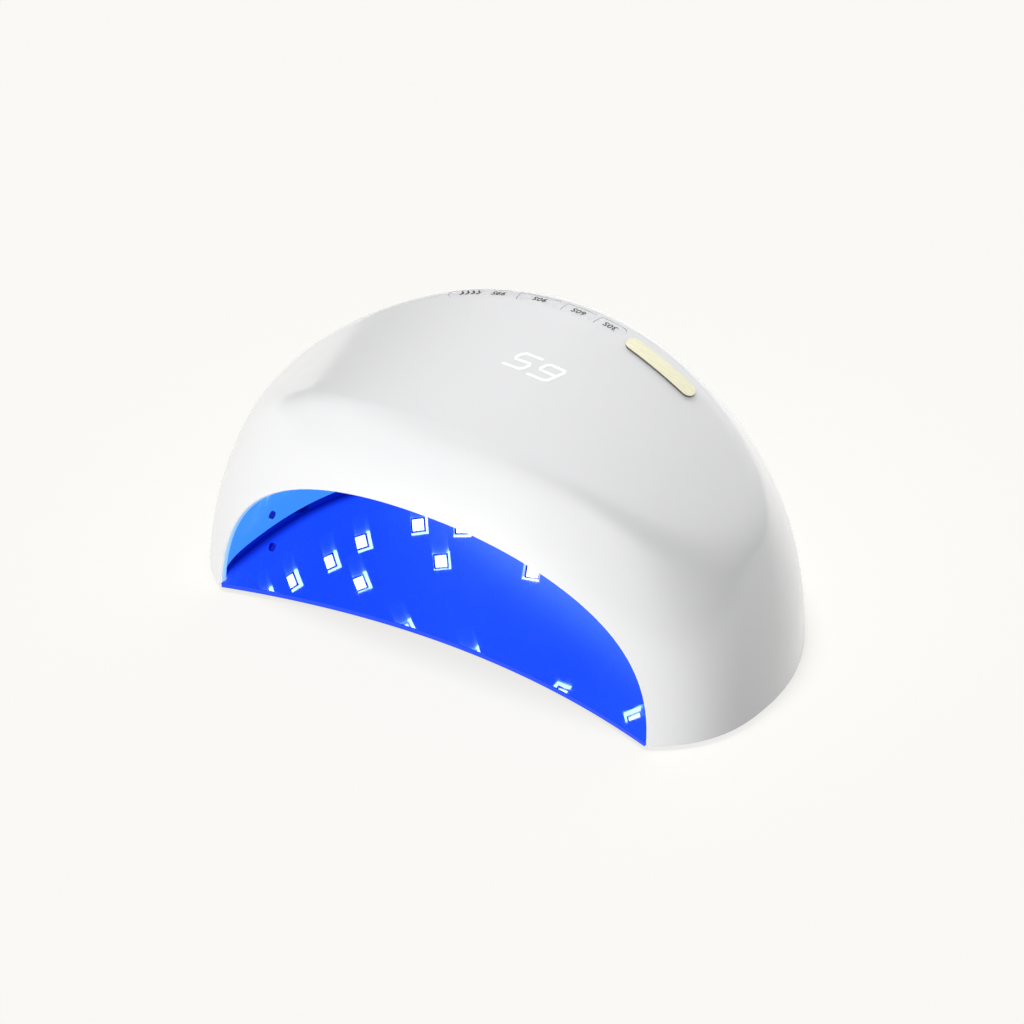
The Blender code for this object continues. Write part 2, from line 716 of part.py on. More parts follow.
def make_shell():
    shell = outer_surface("outer_shell", sides=84, wall_steps=6, round_steps=4, top_steps=4)
    thicken = shell.modifiers.new("thickness", "SOLIDIFY")
    thicken.thickness = SHELL_THICKNESS
    thicken.offset = -1
    thicken.use_even_offset = True
    boolean(shell, bosses(), "UNION")
    outline = arch_outline(MOUTH_HALF, MOUTH_HEIGHT, MOUTH_POWER, 48)
    outline = [(outline[-1][0], -0.01)] + outline[::-1] + [(outline[0][0], -0.01)]
    mouth = as_cutter(flat_piece("mouth", outline, -0.040, 0.040))
    mouth.matrix_world = Matrix.Translation(place(-0.020)) @ Matrix.Rotation(math.pi / 2, 4, "X")
    boolean(shell, mouth, "DIFFERENCE")
    for label, _, _ in KEYS:
        slot = as_cutter(flat_piece(f"slot_{label}", key_outline(label, KEY_CLEARANCE), 0.07, 0.13))
        boolean(shell, slot, "DIFFERENCE")
    for i, (x, y) in enumerate(mirrored(SCREW_SPOTS)):
        base = Vector((x, y - BACKSET, FLANGE_BOTTOM))
        pilot = as_cutter(cylinder(f"pilot_{i + 1}", 0.00145, 0.012, base, sides=12))
        boolean(shell, pilot, "DIFFERENCE")
    turn = Matrix.Rotation(-math.pi / 2, 4, "X")
    base = Vector((0, place(0.128).y, JACK_Z))
    hole = as_cutter(cylinder("jack_hole", JACK_COLLAR_RADIUS + 0.0004, 0.02, base, turn, sides=24))
    boolean(shell, hole, "DIFFERENCE")
    as_node(shell, WHITE_ABS)


def make_keys():
    limit = envelope("key_top", KEY_PROUD)
    for label, left, right in KEYS:
        middle = (left + right) / 2
        row = row_y(middle, KEY_INSET)
        ends = [top_height(x, row_y(x, KEY_INSET)) for x in (left, right)]
        bottom = SHELL_BOTTOM + min(ends) - KEY_DEPTH
        cap = flat_piece(f"key_{label}", key_outline(label, 0.0), bottom, 0.13)
        boolean(cap, limit, "INTERSECT")
        top = bottom + 0.0006
        foot = BOARD_Z + BOARD_THICKNESS + GAP + SWITCH_HEIGHT + PLUNGER_HEIGHT + KEY_TRAVEL + 0.0001
        stem_base = Vector((middle, row - BACKSET - 0.0012, foot))
        stem = as_cutter(cylinder(f"stem_{label}", 0.0015, top - foot, stem_base, sides=12))
        boolean(cap, stem, "UNION")
        as_node(cap, KEY_PLASTIC)
        switch_base = Vector((stem_base.x, stem_base.y, BOARD_Z + BOARD_THICKNESS + GAP))
        make_switch(label, switch_base)


def make_switch(label, base):
    size = (SWITCH_SIZE, SWITCH_SIZE, SWITCH_HEIGHT)
    switch = box(f"switch_{label}", size, base + Vector((0, 0, SWITCH_HEIGHT / 2)))
    start = base + Vector((0, 0, SWITCH_HEIGHT - 0.0005))
    plunger = cylinder(f"plunger_{label}", PLUNGER_RADIUS, PLUNGER_HEIGHT + 0.0005, start, sides=16)
    boolean(switch, as_cutter(plunger), "UNION")
    as_node(switch, BLACK_PLASTIC)


def make_nameplate():
    plate = flat_piece("nameplate", plate_outline(), 0.08, 0.13)
    boolean(plate, envelope("plate_top", PLATE_THICKNESS + GAP), "INTERSECT")
    boolean(plate, envelope("plate_bottom", GAP), "DIFFERENCE")
    as_node(plate, CHAMPAGNE)


# ---------------------------------------------------------------------------------------------
# Electronics and fixings
# ---------------------------------------------------------------------------------------------


def make_board():
    middle = (BOARD_Y[0] + BOARD_Y[1]) / 2
    size = (2 * BOARD_HALF, BOARD_Y[1] - BOARD_Y[0], BOARD_THICKNESS)
    centre = Vector((0, middle - BACKSET, BOARD_Z + BOARD_THICKNESS / 2))
    as_node(box("main_board", size, centre), CIRCUIT, smooth=False)
    x, y = DISPLAY_CENTRE
    middle = BOARD_Z + BOARD_THICKNESS + GAP + DISPLAY_SIZE[2] / 2
    block = box("display_block", DISPLAY_SIZE, Vector((x, y - BACKSET, middle)))
    as_node(block, BLACK_PLASTIC, smooth=False)


def make_jack():
    back = place(0.1325).y
    centre = Vector((0, back - JACK_BODY[1] / 2, JACK_Z))
    jack = box("dc_jack", JACK_BODY, centre)
    turn = Matrix.Rotation(-math.pi / 2, 4, "X")
    collar_base = Vector((0, back - 0.001, JACK_Z))
    collar = cylinder("jack_collar", JACK_COLLAR_RADIUS, 0.0062, collar_base, turn, sides=24)
    boolean(jack, as_cutter(collar), "UNION")
    bore_base = Vector((0, back - 0.007, JACK_Z))
    bore = cylinder("jack_bore", JACK_BORE_RADIUS, 0.03, bore_base, turn, sides=20)
    boolean(jack, as_cutter(bore), "DIFFERENCE")
    pin_base = Vector((0, back - 0.0075, JACK_Z))
    pin = cylinder("jack_pin", JACK_PIN_RADIUS, 0.0105, pin_base, turn, sides=12)
    boolean(jack, as_cutter(pin), "UNION")
    as_node(jack, BLACK_PLASTIC)


def make_screws():
    for i, (x, y) in enumerate(mirrored(SCREW_SPOTS)):
        head_top = FLANGE_BOTTOM - GAP
        base = Vector((x, y - BACKSET, head_top - 0.0013))
        screw = cylinder(f"screw_{i + 1}", 0.0024, 0.0013, base, sides=16)
        shank = cylinder(f"shank_{i + 1}", 0.0011, 0.0100, base + Vector((0, 0, 0.0006)), sides=12)
        boolean(screw, as_cutter(shank), "UNION")
        as_node(screw, STEEL)


def make_magnets():
    for i, (x, y) in enumerate(mirrored(MAGNET_SPOTS)):
        base = Vector((x, y - BACKSET, FLANGE_BOTTOM - 0.0010))
        as_node(cylinder(f"magnet_{i + 1}", MAGNET_RADIUS, MAGNET_HEIGHT, base), STEEL)


def make_wires():
    supply = (
        (0.1285, 0.0240),
        (0.1275, 0.0360),
        (0.1210, 0.0500),
        (0.1080, 0.0630),
        (0.0880, 0.0740),
        (0.0660, 0.0790),
    )
    as_node(tube("supply_lead", [place(y, 0, z) for y, z in supply], 0.0014), WIRE, smooth=False)
    leds = (
        (-0.030, 0.050, 0.0795),
        (-0.038, 0.052, 0.0740),
        (-0.060, 0.055, 0.0660),
        (-0.080, 0.058, 0.0500),
        (-0.088, 0.060, 0.0400),
    )
    as_node(tube("led_loom", [place(y, x, z) for x, y, z in leds], 0.0014), WIRE, smooth=False)


make_feet()
make_tray()
FRAMES = led_frames()
make_reflector(FRAMES)
make_leds(FRAMES)
make_sensors()
make_shell()
make_keys()
make_nameplate()
make_board()
make_jack()
make_screws()
make_magnets()
make_wires()
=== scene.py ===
import json
import math

import bmesh
import bpy
from mathutils import Matrix, Vector
from mathutils.bvhtree import BVHTree
from mathutils.interpolate import poly_3d_calc

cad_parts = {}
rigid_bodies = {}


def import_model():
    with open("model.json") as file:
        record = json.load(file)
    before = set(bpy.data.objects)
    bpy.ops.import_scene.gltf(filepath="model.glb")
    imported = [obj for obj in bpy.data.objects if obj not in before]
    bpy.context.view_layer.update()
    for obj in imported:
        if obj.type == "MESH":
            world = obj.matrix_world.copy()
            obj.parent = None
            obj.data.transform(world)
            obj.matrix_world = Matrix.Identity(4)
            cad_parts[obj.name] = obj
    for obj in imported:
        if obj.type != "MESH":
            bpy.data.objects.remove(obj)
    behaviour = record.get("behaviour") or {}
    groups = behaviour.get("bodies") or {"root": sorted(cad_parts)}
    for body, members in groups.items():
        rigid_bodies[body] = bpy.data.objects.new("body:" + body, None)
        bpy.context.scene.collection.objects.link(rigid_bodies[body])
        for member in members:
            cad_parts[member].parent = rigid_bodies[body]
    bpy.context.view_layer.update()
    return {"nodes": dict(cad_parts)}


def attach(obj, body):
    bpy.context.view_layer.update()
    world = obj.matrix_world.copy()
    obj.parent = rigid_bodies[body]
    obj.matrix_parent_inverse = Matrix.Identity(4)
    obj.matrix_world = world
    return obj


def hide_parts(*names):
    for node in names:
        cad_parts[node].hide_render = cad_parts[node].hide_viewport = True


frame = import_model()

# ---- Dimensions that the visible pieces share with the CAD parts (metres) ----

BACKSET = 0.0650
SHELL_BOTTOM = 0.0017
SHELL_THICKNESS = 0.0022
FOOTPRINT = dict(half=0.110, middle=0.042, back=0.0973, front=0.0612, n_back=1.97, n_front=2.72)
RIM = dict(half=0.0972, middle=0.0514, back=0.0352, front=0.0507, n_back=2.12, n_front=2.55)
TOP_FRONT_HEIGHT = 0.09129
TOP_RISE = 0.0126
TOP_RISE_POWER = 1.3
TOP_DROP = 0.0352
WALL_REACH = (0.067, 0.165)  # back, front
WALL_HEIGHT = (0.567, 0.632)
ROUND_FRONT = 0.0075
ROUND_SIDE = 0.0068
ROUND_BACK = 0.0100
TOP_CENTRE = 0.0520
MOUTH = dict(half=0.0886, height=0.0646, power=2.3)

TRAY_BOTTOM = 0.0017
TRAY_TOP = 0.0037
TRAY_INSET = 0.0034
TRAY_HOLLOW = 0.0146
TRAY_MIDDLE = 0.0108

LINER_THICKNESS = 0.0019
LINER_FOOT = dict(half=0.0930, middle=0.0212, back=0.0971, front=0.068, n_back=2.47, n_front=2.2)
LINER_BOTTOM = TRAY_TOP + 0.0018
LINER_FRONT_FOOT = -0.0120
LINER_RIDGE = (-0.0160, 0.074)
LINER_HEIGHT = (0.0670, 0.0612)
LINER_POWER = 2.1
LINER_GAP = 0.0002  # to the shell

LED_SPOTS = (
    (0.0260, 0.0248), (0.0402, 0.0247), (0.0588, 0.0251), (0.0730, 0.0228), (0.0916, 0.0214),
    (0.1014, 0.0231), (0.0653, 0.0341), (0.0921, 0.0331), (0.1074, 0.0351), (0.0668, 0.0478),
    (0.0753, 0.0550),
)
LED_MIDDLE_RISES = (0.35, 0.90)
SENSOR_SPOT = (0.0924, 0.0342, 0.0088)

KEY_INSET = 0.0047
KEY_HALF_BAND = 0.0026
KEY_LEAN = 0.05
KEYS = (("99", -0.0475, -0.0242), ("90", -0.0204, -0.0050), ("60", -0.0020, 0.0095), ("30", 0.0120, 0.0232))
PLATE_CENTRE = (0.0413, 0.0760)
PLATE_LENGTH = 0.0300
PLATE_HALF_BAND = 0.0027
PLATE_TURN = -8.0
PLATE_LIFT = 0.0010
PLATE_DEPTH = 0.0012
KEY_CORNER = 0.0006  # of a key's square ends
KEY_GROWTH = 0.00006  # of a key, over its CAD outline
SLOT_GROWTH = 0.00022
SLOT_HEIGHTS = (0.07, 0.13)
KEY_LIFT = -0.00014  # of the keys' faces, from the skin
KEY_DEPTH = 0.0024
LABEL_LIFT = -0.00002
LABEL_DEPTH = 0.00003
LABEL_SPOTS = (
    ("99", -0.0282, 0.0804), ("90", -0.0120, 0.0817), ("60", 0.0041, 0.0817), ("30", 0.0175, 0.0811),
)
JACK_RISE = 0.018
BACKWARD = Matrix.Rotation(-math.pi / 2, 4, "X")


def place(x, y, z):
    """A point given from the housing's datum at the mouth and its bottom edge."""
    return Vector((x, y - BACKSET, z + SHELL_BOTTOM))


# ---- Helpers ----


def new_object(name, mesh):
    obj = bpy.data.objects.new(name, mesh)
    bpy.context.scene.collection.objects.link(obj)
    return obj


def mesh_object(name, bm):
    mesh = bpy.data.meshes.new(name)
    bm.to_mesh(mesh)
    bm.free()
    return new_object(name, mesh)


def solid_object(name, bm):
    """The mesh as an object, with its faces turned outward."""
    bmesh.ops.recalc_face_normals(bm, faces=bm.faces)
    return mesh_object(name, bm)


def apply_all(obj):
    """The object with its modifiers applied and its place moved into its mesh."""
    graph = bpy.context.evaluated_depsgraph_get()
    mesh = bpy.data.meshes.new_from_object(obj.evaluated_get(graph))
    obj.modifiers.clear()
    obj.data = mesh
    obj.data.transform(obj.matrix_world)
    obj.matrix_world = Matrix.Identity(4)
    return obj


def cut(obj, other, operation="DIFFERENCE"):
    """Applies a Boolean with a helper, and removes the helper."""
    made = obj.modifiers.new(operation.lower(), "BOOLEAN")
    made.operation = operation
    made.object = other
    made.solver = "EXACT"
    made.material_mode = "TRANSFER"
    apply_all(obj)
    bpy.data.objects.remove(other)
    return obj


def bevel(obj, width, segments=3, angle=40):
    made = obj.modifiers.new("bevel", "BEVEL")
    made.width = width
    made.segments = segments
    made.limit_method = "ANGLE"
    made.angle_limit = math.radians(angle)
    made.harden_normals = False


def smooth(obj, angle=35, weighted=False):
    """Smooth shading with sharp edges; weighted keeps large flat faces flat beside small bevels."""
    obj.data.shade_smooth()
    obj.data.set_sharp_from_angle(angle=math.radians(angle))
    if weighted:
        made = obj.modifiers.new("weighted", "WEIGHTED_NORMAL")
        made.weight = 100
        made.keep_sharp = True
        apply_all(obj)
    return obj


def prism(name, outline, bottom, top):
    """A flat outline made into a solid between two heights."""
    bm = bmesh.new()
    low = [bm.verts.new((x, y, bottom)) for x, y in outline]
    high = [bm.verts.new((x, y, top)) for x, y in outline]
    bm.faces.new(low[::-1])
    bm.faces.new(high)
    for i in range(len(outline)):
        j = (i + 1) % len(outline)
        bm.faces.new((low[i], low[j], high[j], high[i]))
    return solid_object(name, bm)


def lathe(name, profile, axis_point, turn, steps=48):
    """A turned piece from (radius, height) points along its own Z."""
    bm = bmesh.new()
    rings = []
    for radius, height in profile:
        ring = []
        for i in range(steps):
            angle = math.tau * i / steps
            ring.append(bm.verts.new((radius * math.cos(angle), radius * math.sin(angle), height)))
        rings.append(ring)
    for low, high in zip(rings, rings[1:]):
        for i in range(steps):
            j = (i + 1) % steps
            bm.faces.new((low[i], low[j], high[j], high[i]))
    bm.faces.new(rings[0][::-1])
    bm.faces.new(rings[-1])
    obj = solid_object(name, bm)
    obj.data.transform(Matrix.Translation(axis_point) @ turn)
    return obj


def spread(first, last, steps):
    return [first + (last - first) * i / steps for i in range(steps + 1)]


def stitch(bm, rows):
    """Faces between neighbouring rows of vertices."""
    for near, far in zip(rows, rows[1:]):
        for a, b, c, d in zip(near, near[1:], far[1:], far):
            bm.faces.new((a, b, c, d))


def face_up(bm):
    """Turns the faces of an open sheet upward."""
    bmesh.ops.recalc_face_normals(bm, faces=bm.faces)
    if sum(face.normal.z * face.calc_area() for face in bm.faces) < 0:
        bmesh.ops.reverse_faces(bm, faces=bm.faces)


# ---- Shapes shared with the CAD ----


def rounded_plan(angle, plan, inset=0.0):
    c, s = math.cos(angle), math.sin(angle)
    power = 2 / (plan["n_back"] if s >= 0 else plan["n_front"])
    reach = plan["back"] if s >= 0 else plan["front"]
    x = (plan["half"] - inset) * math.copysign(abs(c) ** power, c)
    y = plan["middle"] + (reach - inset) * math.copysign(abs(s) ** power, s)
    return x, y


def top_height(x, y):
    front = RIM["middle"] - RIM["front"]
    run = (y - front) / (RIM["back"] + RIM["front"])
    across = abs(x) / RIM["half"]
    shoulder = (across**2 - across**3) * max(0.0, 1 - run) ** 2
    return TOP_FRONT_HEIGHT + TOP_RISE * max(0.0, run) ** TOP_RISE_POWER - TOP_DROP * (across**2 - shoulder)


def bezier(a, b, c, t):
    return a * (1 - t) ** 2 + b * 2 * t * (1 - t) + c * t**2


def wall_curve(angle):
    """At an angle of the plan: the wall's foot, control point, rim, rounding and where that begins."""
    x, y = rounded_plan(angle, FOOTPRINT)
    foot = Vector((x, y, 0))
    x, y = rounded_plan(angle, RIM)
    rim = Vector((x, y, top_height(x, y)))
    facing = max(0.0, -math.sin(angle)) ** 2
    control = foot.lerp(rim, WALL_REACH[0] + (WALL_REACH[1] - WALL_REACH[0]) * facing)
    control.z = rim.z * (WALL_HEIGHT[0] + (WALL_HEIGHT[1] - WALL_HEIGHT[0]) * facing)
    end_round = ROUND_FRONT if math.sin(angle) < 0 else ROUND_BACK
    rounding = ROUND_SIDE + (end_round - ROUND_SIDE) * math.sin(angle) ** 2
    wall_end = 1 - rounding / (2 * (rim - control).length)
    return foot, control, rim, rounding, wall_end


def arch_start(x, z):
    """The angle, and the share of the wall's curve, where the right half meets the arch at (x, z)."""
    low, high = -math.pi / 2, 0.2
    share = 0.0
    for _ in range(40):
        angle = (low + high) / 2
        foot, control, rim, _, _ = wall_curve(angle)
        square, linear = rim.z - 2 * control.z, 2 * control.z
        if abs(square) < 1e-9:
            share = z / linear
        else:
            share = (-linear + math.sqrt(linear * linear + 4 * square * z)) / (2 * square)
        if bezier(foot, control, rim, share).x < x:
            low = angle
        else:
            high = angle
    return angle, share


def even_angles(first, last, count, plan):
    """Angles whose points are evenly spaced along a plan outline."""
    dense = spread(first, last, 2000)
    points = [Vector(rounded_plan(angle, plan)) for angle in dense]
    lengths = [0.0]
    for a, b in zip(points, points[1:]):
        lengths.append(lengths[-1] + (b - a).length)
    found, k = [], 0
    for target in spread(0, lengths[-1], count):
        while k < len(lengths) - 2 and lengths[k + 1] < target:
            k += 1
        share = (target - lengths[k]) / max(1e-12, lengths[k + 1] - lengths[k])
        found.append(dense[k] + (dense[k + 1] - dense[k]) * min(1.0, share))
    return found


def column(start, share, end, wall_steps, round_steps, top_steps):
    """Points up the wall from a share of its curve at one angle to its top at another, then over the top."""
    wall_end = wall_curve(end)[4]
    points = []
    for i in range(wall_steps + 1):
        k = i / wall_steps
        foot, control, rim, _, _ = wall_curve(start + (end - start) * k)
        points.append(bezier(foot, control, rim, share + (wall_end - share) * k))
    foot, control, rim, rounding, _ = wall_curve(end)
    centre = Vector((0, TOP_CENTRE))
    outward = rim.xy - centre
    flat = 1 - rounding / outward.length
    spot = centre + outward * flat
    inner = Vector((*spot, top_height(*spot)))
    points += [bezier(points[wall_steps], rim, inner, i / round_steps) for i in range(1, round_steps + 1)]
    for i in range(1, top_steps):
        spot = centre + outward * flat * (1 - i / top_steps)
        points.append(Vector((*spot, top_height(*spot))))
    return [place(*p) for p in points]


def skin(name, columns, wall_steps=26, round_steps=10, top_steps=16):
    """The outer surface from (start angle, first share, end angle) columns, closed on the top's centre."""
    bm = bmesh.new()
    grid = [[bm.verts.new(p) for p in column(*c, wall_steps, round_steps, top_steps)] for c in columns]
    centre = bm.verts.new(place(0, TOP_CENTRE, top_height(0, TOP_CENTRE)))
    for left, right in zip(grid, grid[1:] + grid[:1]):
        for a, b, c, d in zip(left, right, right[1:], left[1:]):
            bm.faces.new((a, b, c, d))
        bm.faces.new((left[-1], right[-1], centre))
    return mesh_object(name, bm)


def plain_columns(count):
    return [(angle, 0.0, angle) for angle in even_angles(0, math.tau, count, FOOTPRINT)[:-1]]


ARCH_STEPS = 72
WALL_STEPS = 130
FAN_END = -0.20  # the angle on the rim over the mouth's corner


def mouth_columns():
    """Columns round the whole housing whose first points follow the arch, then the bottom edge."""
    half = []
    ends = even_angles(-math.pi / 2, FAN_END, ARCH_STEPS, RIM)
    for i in range(ARCH_STEPS + 1):
        turn = math.pi / 2 * i / ARCH_STEPS
        x = MOUTH["half"] * math.sin(turn) ** (2 / MOUTH["power"])
        z = MOUTH["height"] * max(0.0, math.cos(turn)) ** (2 / MOUTH["power"]) if i < ARCH_STEPS else 0.0
        angle, share = arch_start(x, z)
        half.append((-math.pi / 2 if i == 0 else angle, share, ends[i]))
    starts = even_angles(half[-1][0], math.pi / 2, WALL_STEPS, FOOTPRINT)
    ends = even_angles(FAN_END, math.pi / 2, WALL_STEPS, RIM)
    half += [(start, 0.0, end) for start, end in zip(starts[1:], ends[1:])]
    left = [(-math.pi - start, share, -math.pi - end) for start, share, end in half[1:-1]]
    return half + left[::-1]


class Reference:
    """The whole skin, without any opening, to take smooth normals from."""

    def __init__(self):
        obj = skin("reference", plain_columns(600), 44, 16, 24)
        mesh = obj.data
        self.points = [v.co.copy() for v in mesh.vertices]
        self.normals = [v.normal.copy() for v in mesh.vertices]
        self.polygons = [tuple(p.vertices) for p in mesh.polygons]
        self.tree = BVHTree.FromPolygons(self.points, self.polygons)
        bpy.data.objects.remove(obj)
        top = self.tree.find_nearest(place(0, TOP_CENTRE, 0.2))
        self.sign = 1 if self.normals[self.polygons[top[2]][0]].z > 0 else -1

    def normal(self, point):
        spot, _, face, distance = self.tree.find_nearest(point)
        corners = self.polygons[face]
        weights = poly_3d_calc([self.points[c] for c in corners], spot)
        total = Vector()
        for corner, weight in zip(corners, weights):
            total += self.normals[corner] * weight
        return total.normalized() * self.sign, distance

    def over(self, x, y, lift=0.0):
        """The skin's point over (x, y), lifted along its normal."""
        spot = self.tree.ray_cast(place(x, y, 0.3), Vector((0, 0, -1)))[0]
        if spot is None:
            spot = self.tree.find_nearest(place(x, y, top_height(x, y)))[0]
        return spot + self.normal(spot)[0] * lift


def liner_point(side, rise):
    """A point of the reflector's inner surface: side -1 to 1 round its foot, rise 0 to 1 up to its ridge."""
    front = abs(LINER_FRONT_FOOT - LINER_FOOT["middle"]) / LINER_FOOT["front"]
    front_angle = -math.asin(front ** (LINER_FOOT["n_front"] / 2))
    angle = math.pi / 2 + (front_angle - math.pi / 2) * abs(side)
    x, y = rounded_plan(angle, LINER_FOOT)
    x = math.copysign(x, side)
    middle = LINER_FOOT["middle"]
    if angle >= 0:
        ridge_y = middle + (LINER_RIDGE[1] - middle) * angle / (math.pi / 2)
    else:
        ridge_y = middle + (LINER_RIDGE[0] - middle) * math.sin(angle) / math.sin(front_angle)
    along = (ridge_y - LINER_RIDGE[0]) / (LINER_RIDGE[1] - LINER_RIDGE[0])
    ridge_z = LINER_HEIGHT[0] + (LINER_HEIGHT[1] - LINER_HEIGHT[0]) * along
    bottom = LINER_BOTTOM - SHELL_BOTTOM
    c = math.cos(rise * math.pi / 2)
    s = math.sin(rise * math.pi / 2)
    inward = 1 - max(c, 0.0) ** (2 / LINER_POWER)
    up = s ** (2 / LINER_POWER)
    return Vector((x * (1 - inward), y + (ridge_y - y) * inward, bottom + (ridge_z - bottom) * up))


def liner_spot(y, height):
    """Where the left half of the reflector has this y and height, as (side, rise), found by halving."""
    low_side, high_side = -1.0, -0.001
    rise = 0.5
    for _ in range(30):
        side = (low_side + high_side) / 2
        low_rise, high_rise = 0.0, 1.0
        for _ in range(24):
            rise = (low_rise + high_rise) / 2
            if liner_point(side, rise).z < height:
                low_rise = rise
            else:
                high_rise = rise
        if liner_point(side, rise).y < y:
            low_side = side
        else:
            high_side = side
    return side, rise


def led_frame(side, rise):
    """An LED's frame: its origin on the reflector's inner face, Y up the wall and Z out through it."""
    step = 0.004
    along = liner_point(side + step, rise) - liner_point(side - step, rise)
    rising = liner_point(side, rise + step) - liner_point(side, rise - step)
    normal = along.cross(rising).normalized()
    normal = normal if normal.z > 0 else -normal
    across = Vector((0, 0, 1)).cross(normal)
    across = across.normalized() if across.length > 0.2 else Vector((1, 0, 0))
    up = normal.cross(across).normalized()
    turn = Matrix((across, up, normal)).transposed().to_4x4()
    return Matrix.Translation(place(*liner_point(side, rise))) @ turn


LED_SHIFT = 0.0006  # of a lit square in its pocket, toward the back


def led_spots():
    """The (side, rise) of every LED."""
    spots = []
    for side, rise in [liner_spot(y, height) for y, height in LED_SPOTS]:
        spots += [(side, rise), (-side, rise)]
    return spots + [(-0.0001, rise) for rise in LED_MIDDLE_RISES]


def led_frames():
    frames = []
    for side, rise in led_spots():
        matrix = led_frame(side, rise)
        if abs(side) > 0.01:
            matrix = matrix @ Matrix.Translation((math.copysign(LED_SHIFT, side), 0, 0))
        frames.append(matrix)
    return frames


def row_y(x, inset):
    """y of the line that runs this far inside the rim along the back, at an x."""
    share = 1 - (abs(x) / (RIM["half"] - inset)) ** RIM["n_back"]
    return RIM["middle"] + (RIM["back"] - inset) * share ** (1 / RIM["n_back"])


# ---- Materials ----


class Nodes:
    """Short calls to build a material's node tree."""

    def __init__(self, name):
        self.material = bpy.data.materials.new(name)
        self.material.use_nodes = True
        self.tree = self.material.node_tree
        self.shader = self.tree.nodes["Principled BSDF"]

    def add(self, kind, **values):
        node = self.tree.nodes.new("ShaderNode" + kind)
        for key, value in values.items():
            setattr(node, key, value)
        return node

    def link(self, source, target):
        self.tree.links.new(source, target)

    def axes(self):
        """X, Y and Z of the point, by name."""
        node = self.add("SeparateXYZ")
        self.link(self.position(), node.inputs[0])
        return node.outputs

    def math(self, operation, a, b=None):
        node = self.add("Math", operation=operation)
        for socket, value in zip(node.inputs, (a, b)):
            if value is None:
                continue
            if isinstance(value, (int, float)):
                socket.default_value = value
            else:
                self.link(value, socket)
        return node.outputs[0]

    def noise(self, scale, detail=2.0, roughness=0.5, vector=None):
        node = self.add("TexNoise")
        node.inputs["Scale"].default_value = scale
        node.inputs["Detail"].default_value = detail
        node.inputs["Roughness"].default_value = roughness
        self.link(vector or self.position(), node.inputs["Vector"])
        return node.outputs["Fac"]

    def position(self):
        """The point in the row frame, which doesn't change as the piece moves."""
        if not hasattr(self, "_position"):
            self._position = self.add("TexCoord").outputs["Object"]
        return self._position

    def ramp(self, value, low, high, first, last):
        """A value from low to high as a smooth blend from the first value to the last."""
        node = self.add("MapRange", interpolation_type="SMOOTHSTEP")
        for name, number in (("From Min", low), ("From Max", high), ("To Min", first), ("To Max", last)):
            node.inputs[name].default_value = number
        self.link(value, node.inputs["Value"])
        return node.outputs["Result"]

    def blend(self, share, first, last):
        node = self.add("Mix", data_type="RGBA")
        for socket, colour in ((node.inputs[6], first), (node.inputs[7], last)):
            if isinstance(colour, tuple):
                socket.default_value = (*colour, 1)
            else:
                self.link(colour, socket)
        self.link(share, node.inputs[0])
        return node.outputs[2]

    def bump(self, height, strength, distance=0.0002):
        node = self.add("Bump")
        node.inputs["Strength"].default_value = strength
        node.inputs["Distance"].default_value = distance
        self.link(height, node.inputs["Height"])
        self.link(node.outputs["Normal"], self.shader.inputs["Normal"])

    def uneven_gloss(self, scale, detail, low, high):
        """Roughness that drifts between two values."""
        self.set(Roughness=self.ramp(self.noise(scale, detail), 0.3, 0.7, low, high))

    def set(self, **values):
        for key, value in values.items():
            socket = self.shader.inputs[key.replace("_", " ")]
            if isinstance(value, bpy.types.NodeSocket):
                self.link(value, socket)
            elif isinstance(value, tuple):
                socket.default_value = (*value, 1)
            else:
                socket.default_value = value


def moulded(name, colour, variation, rough, rough_spread, bump_scale, bump, coat=0.0, metallic=0.0):
    """A moulded or finished surface: slight colour and gloss variation, and a fine surface texture."""
    n = Nodes(name)
    wide = n.noise(35, 3)
    darker = tuple(c * (1 - variation) for c in colour)
    n.set(Base_Color=n.blend(wide, darker, colour))
    fine = n.noise(bump_scale, 4, 0.6)
    n.uneven_gloss(160, 3, rough - rough_spread, rough + rough_spread)
    n.bump(fine, bump)
    n.set(Metallic=metallic)
    if coat:
        n.set(Coat_Weight=coat, Coat_Roughness=0.06)
    return n.material


def shell_material():
    n = Nodes("gloss_white_abs")
    flow = n.noise(14, 2)
    n.set(Base_Color=n.blend(flow, (0.765, 0.768, 0.778), (0.785, 0.786, 0.790)))
    n.uneven_gloss(90, 3, 0.20, 0.26)
    n.set(Coat_Weight=0.35, Coat_Roughness=0.08, IOR=1.5)
    n.bump(n.noise(420, 2), 0.02, 0.0001)
    return n.material


def painted_blue_glow(n):
    """The reflector's painted blue LED light, as an emission colour: deep at the front of its left side,
    lighter low on its back, deeper above.
    """
    axes = n.axes()
    away = n.math("ADD", n.math("MULTIPLY", axes["X"], 0.6), axes["Y"])
    wall = n.blend(n.ramp(away, -0.050, 0.045, 0.0, 1.0), (0.050, 0.285, 1.0), (0.20, 0.58, 1.0))
    high = n.ramp(axes["Z"], 0.022, 0.062, 0.0, 1.0)
    return n.blend(high, wall, (0.075, 0.33, 1.0))


def reflector_material():
    n = Nodes("reflector_painted_blue_light")
    # The reflector is no lamp: its blue emission, with soft clouds in it, is painted LED light; the base
    # colour under it is its own dark blue.
    body = painted_blue_glow(n)
    painted_glow_clouds = n.blend(n.ramp(n.noise(60, 2), 0.3, 0.7, 0.0, 0.10), body, (0.02, 0.16, 1.0))
    n.set(Base_Color=n.blend(n.noise(300, 2), (0.004, 0.020, 0.16), (0.006, 0.028, 0.20)))
    n.set(Emission_Color=painted_glow_clouds, Emission_Strength=1.0)
    n.uneven_gloss(150, 2, 0.22, 0.32)
    n.bump(n.noise(700, 2), 0.04)
    return n.material


